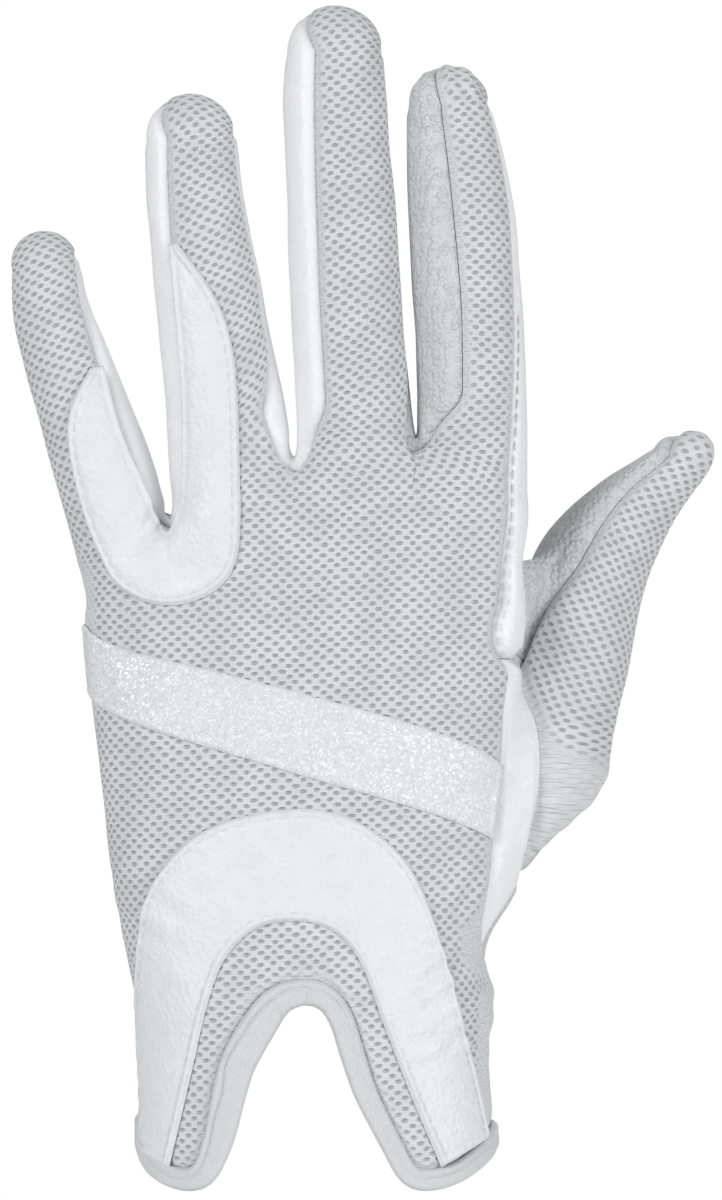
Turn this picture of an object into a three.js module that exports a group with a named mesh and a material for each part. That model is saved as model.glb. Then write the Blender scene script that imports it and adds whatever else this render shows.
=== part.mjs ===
// A riding glove for the left hand, in the form that it has when it is worn. All lengths are millimetres.
// +Z runs from the cuff to the fingertips, the back of the hand faces -Y and the thumb is on the +X side.
// The origin is the centre of the cuff's mouth, level with the lowest point of its binding.
import * as THREE from 'three';
import { mergeVertices } from 'three/addons/utils/BufferGeometryUtils.js';

// Sizes of the hand's body
const palmLength = 139.5;
const palmHalfWidth = 42;
const palmHalfDepth = 14.5;
const wristHalfWidth = 34;
const wristHalfDepth = 20;
const knuckleTaper = 34;
const crestRounding = 5;
const crestThinness = 0.62;

// Sizes of the fingers and the thumb
const littleLength = 65.2;
const littleHalfWidth = 9.9;
const ringLength = 84;
const ringHalfWidth = 11.4;
const middleLength = 94.8;
const middleHalfWidth = 11;
const indexLength = 83.3;
const indexHalfWidth = 11;
const thumbLength = 60;
const thumbHalfWidth = 11.4;
const thumbSink = 21;
const fingerCurl = 7;
const webFillet = 1.4;
const knuckleFillet = 7;
const thumbFillet = 11;

// Walls and clearances
const meshWall = 1.2;
const leatherWall = 1.3;
const seamGap = 0.4;
const trimGap = 0.5;
const patchGap = 0.75;
const trimWall = 1;

// Sizes of the cuff and of what lies on the back of the hand
const notchHeight = 40.5;
const palmNotchHeight = 46;
const cuffSideHeight = 13.2;
const bindingWidth = 4.7;
const bindingWall = 2.2;
const bindingStand = 0.5;
const gussetFoot = 46.5;
const gussetTop = 101;
const archHeight = 72.8;
const archHalfWidth = 33.6;
const bandWidth = 13.4;
const bandHeight = 101.2;
const bandFall = 27.4;
const webPatchReach = 15;

// How finely each piece is divided: columns run across a panel and rows along it
const backColumns = [8, 6, 7, 7];
const palmColumns = [6, 5, 5, 6];
const wallColumns = 2;
const fingerRows = 7;
const tipRows = 3;
const cuffRows = 5;
const gussetRows = 9;
const stripRows = 4;
const thumbRows = 9;
const trimColumns = 4;

const degrees = Math.PI / 180;
const { clamp, lerp, smoothstep } = THREE.MathUtils;

// A short table: one row for each section, with a named column for each of its values.
const table = (names, ...rows) => rows.map((row) => Object.fromEntries(names.map((name, n) => [name, row[n]])));

// Outline of the hand's body: rise is a share of the palm's length, toPalm goes from wrist size to palm size,
// little and thumb are the sides' shares of that half width, and depth is a share of the half depth.
const bodySections = table(['rise', 'toPalm', 'little', 'thumb', 'depth'],
  [-0.05, 0.00, 1.00, 1.00, 1.00],
  [0.082, 0.00, 0.99, 0.985, 1.00],
  [0.184, 0.00, 1.00, 0.95, 0.99],
  [0.265, 0.02, 1.005, 0.985, 0.97],
  [0.330, 0.25, 1.00, 0.89, 0.96],
  [0.457, 0.72, 0.985, 0.865, 1.00],
  [0.593, 1.00, 0.985, 0.865, 1.03],
  [0.729, 1.00, 1.035, 0.895, 1.00],
  [0.830, 1.00, 1.045, 0.905, 0.95],
  [1.050, 1.00, 0.97, 0.90, 0.88]);

// Where the hand's body ends between the fingers: across is a share of its half width, rise of its length.
const crest = table(['across', 'rise'],
  [-1.10, 0.79], [-0.87, 0.84], [-0.72, 0.875], [-0.38, 0.945], [-0.10, 0.975], [0.20, 0.985], [0.53, 0.99],
  [0.75, 0.97], [0.95, 0.90]);

// Each finger's sections: along and side are shares of its length, girth is a share of its half width.
const stations = ['along', 'side', 'girth'];
const littleSections = table(stations,
  [0.00, 0.010, 0.90], [0.16, 0.018, 0.94], [0.31, 0.011, 0.91], [0.47, 0.000, 0.84], [0.62, -0.011, 0.78],
  [0.77, -0.015, 0.72], [0.898, 0.000, 0.67]);
const ringSections = table(stations,
  [0.00, 0.000, 0.97], [0.11, 0.008, 1.00], [0.23, 0.011, 0.98], [0.34, 0.010, 0.94], [0.46, 0.004, 0.89],
  [0.57, 0.002, 0.87], [0.68, -0.003, 0.83], [0.80, -0.004, 0.79], [0.898, 0.000, 0.75]);
const middleSections = table(stations,
  [0.00, 0.000, 0.99], [0.19, -0.001, 0.97], [0.39, -0.004, 0.95], [0.59, -0.004, 0.93], [0.79, -0.004, 0.88],
  [0.902, 0.000, 0.84]);
const indexSections = table(stations,
  [0.00, 0.006, 0.96], [0.16, 0.018, 0.93], [0.39, 0.022, 0.93], [0.62, 0.016, 0.91], [0.75, 0.011, 0.86],
  [0.905, 0.000, 0.72]);
// The thumb's sections have one more column: sink is the share of its full depth towards the palm.
const thumbSections = table([...stations, 'sink'],
  [-0.545, -0.044, 0.80, 0.30], [-0.326, -0.006, 0.90, 0.46], [-0.128, 0.026, 0.98, 0.62], [0.00, 0.000, 0.98, 0.72],
  [0.205, -0.051, 1.00, 0.86], [0.468, -0.109, 0.95, 0.98], [0.700, -0.082, 0.73, 1.00], [0.900, -0.010, 0.50, 0.93]);

// A limb is a finger or the thumb. Its turn is measured round its own line: 0 faces the back of the hand,
// 90 the thumb's side, -90 the little finger's side and 180 the palm.
function makeLimb({ across, rise, sink, splay, length, halfWidth, depth, curl, sections }) {
  const tilt = splay * degrees;
  return {
    root: new THREE.Vector3(across * palmHalfWidth, sink * palmHalfDepth, rise * palmLength),
    up: new THREE.Vector3(Math.sin(tilt), 0, Math.cos(tilt)),
    side: new THREE.Vector3(Math.cos(tilt), 0, -Math.sin(tilt)),
    first: sections[0].along,
    last: sections[sections.length - 1].along,
    length, halfWidth, depth, curl, sections,
  };
}
const little = makeLimb({ across: -0.886, rise: 0.858, sink: 0.20, splay: -14.7, length: littleLength,
  halfWidth: littleHalfWidth, depth: 0.92, curl: fingerCurl, sections: littleSections });
const ring = makeLimb({ across: -0.380, rise: 0.899, sink: 0.06, splay: -6.2, length: ringLength,
  halfWidth: ringHalfWidth, depth: 0.88, curl: fingerCurl, sections: ringSections });
const middle = makeLimb({ across: 0.195, rise: 0.940, sink: 0.00, splay: -3.2, length: middleLength,
  halfWidth: middleHalfWidth, depth: 0.90, curl: fingerCurl, sections: middleSections });
const index = makeLimb({ across: 0.683, rise: 0.940, sink: 0.06, splay: -2.6, length: indexLength,
  halfWidth: indexHalfWidth, depth: 0.90, curl: fingerCurl, sections: indexSections });
const thumb = makeLimb({ across: 1.099, rise: 0.647, sink: 0.00, splay: 26.8, length: thumbLength,
  halfWidth: thumbHalfWidth, depth: 1.00, curl: 0, sections: thumbSections });
const fingers = [little, ring, middle, index];

// Reads a column of a table at a place between its rows, along a smooth curve through them.
function follow(rows, key, column, at) {
  const last = rows.length - 1;
  if (at <= rows[0][key]) return rows[0][column];
  if (at >= rows[last][key]) return rows[last][column];
  const n = rows.findIndex((row) => row[key] > at) - 1;
  const slope = (i) => {
    const before = rows[Math.max(i - 1, 0)];
    const after = rows[Math.min(i + 1, last)];
    return (after[column] - before[column]) / (after[key] - before[key]);
  };
  const span = rows[n + 1][key] - rows[n][key];
  const s = (at - rows[n][key]) / span;
  const ease = s * s * (3 - 2 * s);
  const leave = s * (1 - s) * (1 - s) * span * slope(n);
  const arrive = s * s * (1 - s) * span * slope(n + 1);
  return lerp(rows[n][column], rows[n + 1][column], ease) + leave - arrive;
}

function limbCentre(limb, along) {
  const shift = follow(limb.sections, 'along', 'side', along) * limb.length;
  const sink = limb === thumb
    ? follow(limb.sections, 'along', 'sink', along) * thumbSink
    : limb.curl * along * Math.abs(along);
  return limb.root.clone()
    .addScaledVector(limb.up, along * limb.length)
    .addScaledVector(limb.side, shift)
    .add(new THREE.Vector3(0, sink, 0));
}

const limbRadius = (limb, along) => follow(limb.sections, 'along', 'girth', along) * limb.halfWidth;
const limbAlong = (limb, p) => p.clone().sub(limb.root).dot(limb.up) / limb.length;
const alongAtHeight = (limb, z) => (z - limb.root.z) / (limb.length * limb.up.z);

// Distance fields: negative inside, zero on the glove's outer face and positive outside.
function limbField(limb, p) {
  const along = clamp(limbAlong(limb, p), limb.first, limb.last);
  const c = limbCentre(limb, along);
  return Math.hypot(p.x - c.x, (p.y - c.y) / limb.depth, p.z - c.z) - limbRadius(limb, along);
}

function bodySection(p) {
  const rise = p.z / palmLength;
  const read = (column) => follow(bodySections, 'rise', column, rise);
  const halfWidth = lerp(wristHalfWidth, palmHalfWidth, read('toPalm'));
  const low = -read('little') * halfWidth;
  const high = read('thumb') * halfWidth;
  const top = follow(crest, 'across', 'rise', p.x / palmHalfWidth) * palmLength;
  const thin = lerp(crestThinness, 1, smoothstep(top - p.z, 0, knuckleTaper));
  const depth = lerp(wristHalfDepth, palmHalfDepth, read('toPalm')) * read('depth') * thin;
  return { x: (low + high) / 2, width: (high - low) / 2, depth, top };
}

const sectionPower = 2.3;
function bodyField(p) {
  const s = bodySection(p);
  const across = Math.abs(p.x - s.x) / s.width;
  const deep = Math.abs(p.y) / s.depth;
  const size = Math.max(Math.pow(across ** sectionPower + deep ** sectionPower, 1 / sectionPower), 1e-3);
  const steep = size ** (1 - sectionPower);
  const slope = Math.hypot(steep * across ** (sectionPower - 1) / s.width, steep * deep ** (sectionPower - 1) / s.depth);
  return -blend((1 - size) / Math.max(slope, 1e-4), s.top - p.z, crestRounding);
}

// Joins two fields with a fillet.
function blend(a, b, fillet) {
  const h = clamp(0.5 + 0.5 * (b - a) / fillet, 0, 1);
  return lerp(b, a, h) - fillet * h * (1 - h);
}

function gloveField(p) {
  const open = fingers.slice(1).reduce((field, finger) => blend(field, limbField(finger, p), webFillet),
    limbField(little, p));
  return blend(blend(bodyField(p), open, knuckleFillet), limbField(thumb, p), thumbFillet);
}

function slopeAt(p, step = 0.05) {
  const part = (axis) => {
    const ahead = p.clone();
    const behind = p.clone();
    ahead[axis] += step;
    behind[axis] -= step;
    return (gloveField(ahead) - gloveField(behind)) / (2 * step);
  };
  return new THREE.Vector3(part('x'), part('y'), part('z'));
}

// Limits of the search for the outer face: rounds, nearness and the longest move of a round.
const searchRounds = 14;
const searchNear = 1e-4;
const longestMove = 4;

// The direction of a wall's thickness, evened out where two fingers meet in a narrow fold.
const foldEvening = 1.3;
const outwards = (p) => slopeAt(p, foldEvening).normalize();

// Moves a point straight onto the glove's outer face, or onto the shell that lies level millimetres outside it.
function settle(p, level = 0) {
  const q = p.clone();
  const leastSlope = 0.05;
  for (let n = 0; n < searchRounds; n += 1) {
    const off = gloveField(q) - level;
    if (Math.abs(off) < searchNear) break;
    const slope = slopeAt(q);
    q.addScaledVector(slope, clamp(-off / Math.max(slope.lengthSq(), leastSlope), -longestMove, longestMove));
  }
  return q;
}

// Moves a point onto the outer face along a given direction, so that its place across the hand stays.
function settleAlong(p, direction) {
  const q = p.clone();
  const step = 0.05;
  const leastSlope = 0.35;
  for (let n = 0; n < searchRounds; n += 1) {
    const off = gloveField(q);
    if (Math.abs(off) < searchNear) break;
    const slope = (gloveField(q.clone().addScaledVector(direction, step)) - off) / step;
    q.addScaledVector(direction, clamp(-off / Math.max(slope, leastSlope), -longestMove / 2, longestMove / 2));
  }
  return settle(q);
}

// Finds the outer face at a place seen from the back of the hand (side -1) or from the palm (side 1).
function faceAt(x, z, side) {
  const p = new THREE.Vector3(x, side * 2 * (palmHalfDepth + wristHalfDepth), z);
  const stride = 0.6;
  const leastStride = 0.01;
  while (gloveField(p) > searchNear && p.y * side > -palmHalfDepth) {
    p.y -= side * Math.max(gloveField(p) * stride, leastStride);
  }
  return settle(p);
}

// The hand's body in round terms: turn goes round it as on a limb, reach is 1 on its own section.
function bodyPoint(turn, z, reach = 1) {
  const middleSection = bodySection(new THREE.Vector3(0, 0, z));
  const x = middleSection.x + middleSection.width * Math.sin(turn * degrees) * reach;
  const { depth } = bodySection(new THREE.Vector3(x, 0, z));
  return new THREE.Vector3(x, -depth * Math.cos(turn * degrees) * reach, z);
}

// Shares of the half width between which a point is counted as lying on the body's side.
const sideTurning = [0.93, 0.995];
function bodyTurn(p) {
  const s = bodySection(p);
  const across = (p.x - s.x) / s.width;
  const round = Math.atan2(across, -p.y / s.depth);
  const level = Math.asin(clamp(across, -1, 1));
  const flat = p.y < 0 ? level : Math.sign(across) * Math.PI - level;
  return lerp(flat, round, smoothstep(Math.abs(across), ...sideTurning)) / degrees;
}

// A point of the glove's face at a turn and a height, straight out from the body's own section.
function bodyFace(turn, z) {
  const p = bodyPoint(turn, z);
  const s = bodySection(p);
  const away = new THREE.Vector3(Math.sin(turn * degrees) / s.width, -Math.cos(turn * degrees) / s.depth, 0);
  return settleAlong(p, away.normalize());
}

const palmTurn = (p) => (bodyTurn(p) + 360) % 360;

function limbPoint(limb, along, turn, reach = 1) {
  const radius = limbRadius(limb, along) * reach;
  return limbCentre(limb, along)
    .addScaledVector(limb.side, radius * Math.sin(turn * degrees))
    .add(new THREE.Vector3(0, -radius * limb.depth * Math.cos(turn * degrees), 0));
}

// A point on the rounded end: it leaves the last section at turn and reaches the tip's outline at bend,
// which is measured in the plane of the hand from the limb's own line.
function tipPoint(limb, turn, bend, share) {
  const leave = limb.side.clone().multiplyScalar(Math.sin(turn * degrees));
  leave.y -= Math.cos(turn * degrees);
  const arrive = limb.side.clone().multiplyScalar(Math.sin(bend * degrees))
    .addScaledVector(limb.up, Math.cos(bend * degrees));
  const angle = leave.angleTo(arrive);
  const way = leave.multiplyScalar(Math.sin((1 - share) * angle))
    .addScaledVector(arrive, Math.sin(share * angle)).normalize();
  way.y *= limb.depth;
  return settle(limbCentre(limb, limb.last).addScaledVector(way, limbRadius(limb, limb.last)));
}

// Seams along each finger, as turns in degrees: the back panel lies between backLow and backHigh and
// the palm panel from palmHigh round to palmLow. What is left on either side is a side wall.
const seams = ['along', 'backLow', 'backHigh', 'palmLow', 'palmHigh'];
const littleSeams = table(seams,
  [0.00, -125, 36, -125, 125], [0.35, -125, 38, -125, 125], [0.55, -124, 50, -124, 122], [0.90, -108, 78, -108, 104]);
const ringSeams = table(seams,
  [0.00, -44, 34, -116, 145], [0.25, -44, 42, -116, 145], [0.40, -43, 76, -116, 142], [0.90, -34, 82, -104, 104]);
const middleSeams = table(seams,
  [0.00, -34, 80, -116, 145], [0.50, -31, 92, -116, 142], [0.90, -26, 84, -104, 104]);
const indexSeams = table(seams,
  [0.00, -16, 40, -112, 112], [0.25, -12, 54, -112, 112], [0.50, -9, 70, -112, 112], [0.90, -14, 80, -104, 100]);
// Where the same seams end on the tips, as bends.
const tipSeams = table(['backLow', 'backHigh', 'palmLow', 'palmHigh'],
  [-86, 80, -86, 86], [-42, 80, -85, 86], [-38, 80, -85, 86], [-34, 76, -85, 86]);
const thumbSeams = table(['along', 'low', 'high'],
  [-0.10, -56, 112], [0.05, -50, 112], [0.45, -17, 108], [0.70, -24, 104], [0.90, -34, 98]);
const thumbTip = { low: -32, high: 82 };

// The crotch between two fingers, on the outer face: side -1 is its end on the back, 1 on the palm, 0 its top.
const webDrop = 1.6;
const webReach = 6.6;
const webSearch = { from: 1.12, to: 0.7 };
function webPoint(low, high, side) {
  const line = (z) => {
    const a = limbPoint(low, alongAtHeight(low, z), 90);
    const b = limbPoint(high, alongAtHeight(high, z), -90);
    return a.add(b).multiplyScalar(0.5);
  };
  const stride = 0.4;
  let z = palmLength * webSearch.from;
  while (z > palmLength * webSearch.to && gloveField(line(z)) > 0) z -= stride;
  return settle(line(z).add(new THREE.Vector3(0, side * webReach, -webDrop * Math.abs(side))));
}
const gaps = [0, 1, 2];
const backWebs = gaps.map((n) => webPoint(fingers[n], fingers[n + 1], -1));
const crotches = gaps.map((n) => webPoint(fingers[n], fingers[n + 1], 0));
const palmWebs = gaps.map((n) => webPoint(fingers[n], fingers[n + 1], 1));

// The four seams of each finger, from its foot to its tip.
const littleFoot = palmLength * 0.86;
const indexFoot = palmLength * 0.985;
const seamTables = [littleSeams, ringSeams, middleSeams, indexSeams];

function footAlong(n, edge) {
  const low = edge.endsWith('Low');
  if (low && n === 0) return alongAtHeight(little, littleFoot);
  if (!low && n === 3) return alongAtHeight(index, indexFoot);
  return alongAtHeight(fingers[n], backWebs[low ? n - 1 : n].z);
}

function footPoint(n, edge) {
  const low = edge.endsWith('Low');
  const webs = edge.startsWith('back') ? backWebs : palmWebs;
  if ((low && n === 0) || (!low && n === 3)) {
    const along = footAlong(n, edge);
    return settle(limbPoint(fingers[n], along, follow(seamTables[n], 'along', edge, along)));
  }
  return webs[low ? n - 1 : n];
}

const footCrowding = 1.4;

// One crosswise row of a finger between two of its seams. Rows past fingerRows lie on the rounded tip.
function fingerRow(n, row, from, to, columns) {
  const share = Math.min(row / fingerRows, 1) ** footCrowding;
  const limb = fingers[n];
  const overPalm = from.startsWith('palm') && to.startsWith('palm');
  const round = (turn, edge) => (overPalm && edge === 'palmLow' ? turn + 360 : turn);
  const ends = [from, to].map((edge) => {
    const along = lerp(footAlong(n, edge), limb.last, share);
    return { along, turn: round(follow(seamTables[n], 'along', edge, along), edge), bend: tipSeams[n][edge] };
  });
  return Array.from({ length: columns + 1 }, (_, j) => {
    const at = (key) => lerp(ends[0][key], ends[1][key], j / columns);
    if (row > fingerRows) return tipPoint(limb, at('turn'), at('bend'), (row - fingerRows) / tipRows);
    return settle(limbPoint(limb, at('along'), at('turn')));
  });
}

const lastRow = fingerRows + tipRows;
const fingerRange = Array.from({ length: lastRow }, (_, n) => n + 1);

// Outline of the cuff's mouth, where the panels meet the binding: height is side x cuffSideHeight
// plus notch x the notch's height. The first table is the back's, the second the palm's.
const backMouth = table(['turn', 'side', 'notch'],
  [-125, 1.00, 0.00], [-90, 1.04, 0.00], [-72, 0.78, 0.00], [-60, 0.50, 0.00], [-50, 0.37, 0.00], [-43.5, 0.38, 0.00],
  [-40, 0.10, 0.135], [-36.5, 0, 0.30], [-33, 0, 0.49], [-29, 0, 0.657], [-22, 0, 0.835], [-15, 0, 0.945],
  [-5, 0, 1.00], [4, 0, 0.98], [10, 0, 0.88], [16.6, 0, 0.657], [19.6, 0, 0.516], [23.4, 0, 0.375], [27.5, 0.05, 0.235],
  [32, 0.34, 0.03], [38, 0.36, 0], [48, 0.44, 0], [60, 0.64, 0], [75, 0.85, 0], [90, 0.94, 0], [115, 0.96, 0]);
const palmMouth = table(['turn', 'side', 'notch'],
  [115, 0.96, 0], [124, 0.68, 0], [131, 0.58, 0], [137, 0.40, 0.10], [142, 0, 0.33], [148, 0, 0.52], [155, 0, 0.73],
  [163, 0, 0.88], [172, 0, 0.97], [182, 0, 1.00], [190, 0, 0.97], [198, 0, 0.87], [206, 0, 0.70], [212, 0, 0.50],
  [217, 0, 0.32], [222, 0.30, 0.11], [228, 0.58, 0], [235, 1.00, 0]);
const ulnarTurn = -125;

// Picks points at even distances along a line, which is a function of a share from 0 to 1.
function evenPoints(line, count) {
  const fine = 240;
  const points = Array.from({ length: fine + 1 }, (_, n) => line(n / fine));
  const run = [0];
  for (let n = 1; n <= fine; n += 1) run.push(run[n - 1] + points[n].distanceTo(points[n - 1]));
  return Array.from({ length: count + 1 }, (_, j) =>
    points[Math.max(run.findIndex((way) => way >= run[fine] * j / count - 1e-6), 0)]);
}

function mouthPoints(rows, height, from, to, columns) {
  return evenPoints((share) => {
    const turn = lerp(from, to, share);
    const side = follow(rows, 'turn', 'side', turn) * cuffSideHeight;
    return settle(bodyPoint(turn, side + follow(rows, 'turn', 'notch', turn) * height));
  }, columns);
}

const sum = (list) => list.reduce((a, b) => a + b, 0);
const backHem = mouthPoints(backMouth, notchHeight, ulnarTurn, 115, sum(backColumns));
const palmHem = mouthPoints(palmMouth, palmNotchHeight, 360 + ulnarTurn, 115, sum(palmColumns));

// The back panel's edge on the thumb's side, as turns round the hand's body.
const thumbSideSeam = table(['rise', 'turn'],
  [0.00, 115], [0.24, 115], [0.30, 104], [0.333, 90], [0.39, 73], [0.46, 72], [0.60, 69], [0.72, 65], [0.86, 61],
  [1.00, 57]);
// The gusset's other edge, where the thumb's mesh begins, from its lower end to its top.
const gussetEdge = table(['rise', 'across'],
  [0.422, 0.918], [0.456, 0.950], [0.49, 0.981], [0.531, 1.008], [0.572, 1.018], [0.613, 1.012], [0.64, 0.995],
  [0.667, 0.958], [0.694, 0.930], [0.722, 0.918]);
// The palm's seam round the ball of the thumb, from the wrist to the web of the thumb.
const ballSeam = table(['place', 'rise', 'across'],
  [0.00, 0.422, 0.918], [0.12, 0.445, 0.78], [0.28, 0.51, 0.63], [0.45, 0.60, 0.555], [0.62, 0.70, 0.56],
  [0.80, 0.795, 0.66], [0.90, 0.83, 0.77]);
const thumbWeb = settle(new THREE.Vector3(palmHalfWidth * 0.975, palmHalfDepth * 0.62, palmLength * 0.855));

const bodyRows = cuffRows + gussetRows + stripRows;
const rowRange = Array.from({ length: bodyRows + 1 }, (_, n) => n);
const seamHeights = rowRange.map((n) => {
  if (n <= cuffRows) return lerp(backHem[backHem.length - 1].z, gussetFoot, n / cuffRows);
  if (n <= cuffRows + gussetRows) return lerp(gussetFoot, gussetTop, (n - cuffRows) / gussetRows);
  return lerp(gussetTop, indexFoot, (n - cuffRows - gussetRows) / stripRows);
});
const shareOf = (heights) => heights.map((z) => (z - heights[0]) / (heights[bodyRows] - heights[0]));
const seamShares = shareOf(seamHeights);

const littleSide = rowRange.map((n) => {
  if (n === 0) return backHem[0];
  if (n === bodyRows) return footPoint(0, 'backLow');
  return bodyFace(ulnarTurn, lerp(backHem[0].z, littleFoot, seamShares[n]));
});
const thumbSide = rowRange.map((n) => {
  if (n === 0) return backHem[backHem.length - 1];
  if (n === bodyRows) return footPoint(3, 'backHigh');
  const z = seamHeights[n];
  return bodyFace(follow(thumbSideSeam, 'rise', 'turn', z / palmLength), z);
});

const edgePoint = (rows, share, side) => {
  const last = rows.length - 1;
  const rise = lerp(rows[0].rise, rows[last].rise, share);
  return faceAt(follow(rows, 'rise', 'across', rise) * palmHalfWidth, rise * palmLength, side);
};
// The gusset's far edge from its foot, and the palm panel's edge past the wrist.
const thumbMouthBack = Array.from({ length: gussetRows }, (_, n) => edgePoint(gussetEdge, n / (gussetRows - 1), -1));
const gussetSide = [thumbSide[cuffRows], ...thumbMouthBack];
const ballLine = evenPoints((share) => {
  const x = follow(ballSeam, 'place', 'across', share) * palmHalfWidth;
  const z = follow(ballSeam, 'place', 'rise', share) * palmLength;
  const onPalm = ballSeam[ballSeam.length - 1].place;
  return settle(faceAt(x, z, 1).lerp(thumbWeb, Math.max(share - onPalm, 0) / (1 - onPalm)));
}, gussetRows);
const ballSide = ballLine.slice(1, gussetRows);
const indexSideTurn = 104;
const indexSide = Array.from({ length: stripRows - 1 }, (_, n) => {
  if (n === stripRows - 2) return footPoint(3, 'palmHigh');
  const z = lerp(thumbWeb.z, indexFoot, (n + 1) / (stripRows - 1));
  return settle(bodyPoint(indexSideTurn, z));
});
const palmSide = [...thumbSide.slice(0, cuffRows + 1), thumbMouthBack[0], ...ballSide, thumbWeb, ...indexSide];
const palmShares = shareOf(palmSide.map((p) => p.z));

// Turns of the seams at both sides of the hand, row by row.
const thumbSideTurns = seamHeights.map((z) => follow(thumbSideSeam, 'rise', 'turn', z / palmLength));
const palmSideTurns = palmSide.map((p, n) => (n <= cuffRows ? thumbSideTurns[n] : palmTurn(p)));

// The rows of a panel that covers one face of the hand's body, from the cuff's mouth to the fingers' feet.
// Columns keep their order across the hand: each is at least this share of an even step from the last.
const leastStep = 0.4;
const fanStart = 0.1;
function bodyPanelRows({ hem, feet, low, high, lowTurn, highTurns, turnOf, highShares }) {
  const columns = hem.length - 1;
  const spread = (points) => {
    const turns = points.map(turnOf);
    const whole = turns[columns] - turns[0];
    const steps = turns.slice(1).map((turn, n) => Math.max((turn - turns[n]) / whole, leastStep / columns));
    return turns.map((_, n) => sum(steps.slice(0, n)) / sum(steps));
  };
  const atHem = spread(hem);
  const atFeet = spread(feet);
  return rowRange.map((n) => hem.map((start, j) => {
    if (n === 0) return start;
    if (n === bodyRows) return feet[j];
    if (j === 0) return low[n];
    if (j === columns) return high[n];
    const share = lerp(seamShares[n], highShares[n], j / columns);
    const place = lerp(atHem[j], atFeet[j], smoothstep(share, fanStart, 1));
    const turn = lerp(lowTurn, highTurns[n], place);
    return bodyFace(turn, lerp(start.z, feet[j].z, share));
  }));
}

// The line across the feet of the fingers, on the back or on the palm.
function feetLine(side, columns) {
  const [from, to] = side === 'back' ? ['backLow', 'backHigh'] : ['palmLow', 'palmHigh'];
  const line = [footPoint(0, from)];
  fingers.forEach((limb, n) => {
    const ends = [footPoint(n, from), footPoint(n, to)];
    const turns = [from, to].map((edge) => follow(seamTables[n], 'along', edge, footAlong(n, edge)));
    if (side === 'palm') turns[0] += 360;
    for (let j = 1; j < columns[n]; j += 1) {
      const z = lerp(ends[0].z, ends[1].z, j / columns[n]);
      line.push(settle(limbPoint(limb, alongAtHeight(limb, z), lerp(turns[0], turns[1], j / columns[n]))));
    }
    line.push(ends[1]);
  });
  return line;
}
const backFeet = feetLine('back', backColumns);
const palmFeet = feetLine('palm', palmColumns);

// Joins rows of points into one surface; rows next to each other may have different numbers of points.
function weave(...sheets) {
  const points = [];
  const known = new Map();
  const faces = [];
  const name = (p) => {
    const key = [p.x, p.y, p.z].map((value) => Math.round(value * 1e3)).join();
    if (!known.has(key)) {
      known.set(key, points.length);
      points.push(p.clone());
    }
    return known.get(key);
  };
  const add = (...corners) => {
    const [a, b, c] = corners.map(name);
    if (a !== b && b !== c && c !== a) faces.push([a, b, c]);
  };
  sheets.forEach((rows) => rows.slice(1).forEach((upper, n) => {
    const lower = rows[n];
    let i = 0;
    let j = 0;
    while (i < lower.length - 1 || j < upper.length - 1) {
      const nextLower = (i + 1) / (lower.length - 1);
      const nextUpper = (j + 1) / (upper.length - 1);
      const even = Math.abs(nextLower - nextUpper) < 1e-6;
      const shorter = even && lower[i + 1].distanceTo(upper[j]) <= lower[i].distanceTo(upper[j + 1]);
      if (i < lower.length - 1 && (shorter || (!even && nextLower < nextUpper) || j === upper.length - 1)) {
        add(lower[i], lower[i + 1], upper[j]);
        i += 1;
      } else {
        add(lower[i], upper[j + 1], upper[j]);
        j += 1;
      }
    }
  }));
  return { points, faces };
}

const faceNormal = (points, [a, b, c]) => points[b].clone().sub(points[a]).cross(points[c].clone().sub(points[a]));

// Gives a surface its wall. Its edges are drawn in by half the seam's gap, and it lies level outside the form.
// In a sharp corner the drawing in is held back by the least slant.
const leastSlant = 0.22;
function thicken({ points, faces }, { wall, gap = 0, level = 0 }) {
  const normals = points.map(outwards);
  const facing = sum(faces.map((face) => Math.sign(faceNormal(points, face).dot(normals[face[0]]))));
  const turned = facing < 0 ? faces.map(([a, b, c]) => [a, c, b]) : faces;
  const edges = new Map();
  turned.forEach((face) => face.forEach((a, n) => {
    const b = face[(n + 1) % 3];
    if (edges.has(`${b},${a}`)) edges.delete(`${b},${a}`);
    else edges.set(`${a},${b}`, { a, b, face });
  }));
  const pulls = new Map();
  edges.forEach(({ a, b, face }) => {
    const inward = faceNormal(points, face).normalize().cross(points[b].clone().sub(points[a])).normalize();
    [a, b].forEach((end) => pulls.set(end, [...(pulls.get(end) ?? []), inward]));
  });
  const outer = points.map((p, n) => p.clone().addScaledVector(normals[n], level));
  pulls.forEach((inwards, n) => {
    const pull = inwards.reduce((total, inward) => total.add(inward), new THREE.Vector3()).normalize();
    const slant = Math.max(pull.dot(inwards[0]), leastSlant);
    outer[n].addScaledVector(pull, gap / 2 / slant);
  });
  const inner = outer.map((p, n) => p.clone().addScaledVector(normals[n], -wall));
  const count = points.length;
  const triangles = turned.flatMap(([a, b, c]) => [[a, b, c], [a + count, c + count, b + count]]);
  edges.forEach(({ a, b }) => {
    const falling = inner[a].distanceTo(outer[b]) < outer[a].distanceTo(inner[b]);
    if (falling) triangles.push([a, a + count, b], [b, a + count, b + count]);
    else triangles.push([a, a + count, b + count], [a, b + count, b]);
  });
  return solidGeometry([...outer, ...inner], triangles);
}

function solidGeometry(points, triangles) {
  const geometry = new THREE.BufferGeometry();
  geometry.setAttribute('position', new THREE.Float32BufferAttribute(points.flatMap((p) => p.toArray()), 3));
  geometry.setIndex(triangles.flat());
  const merged = mergeVertices(geometry, 1e-4);
  merged.computeVertexNormals();
  return merged;
}

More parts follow.
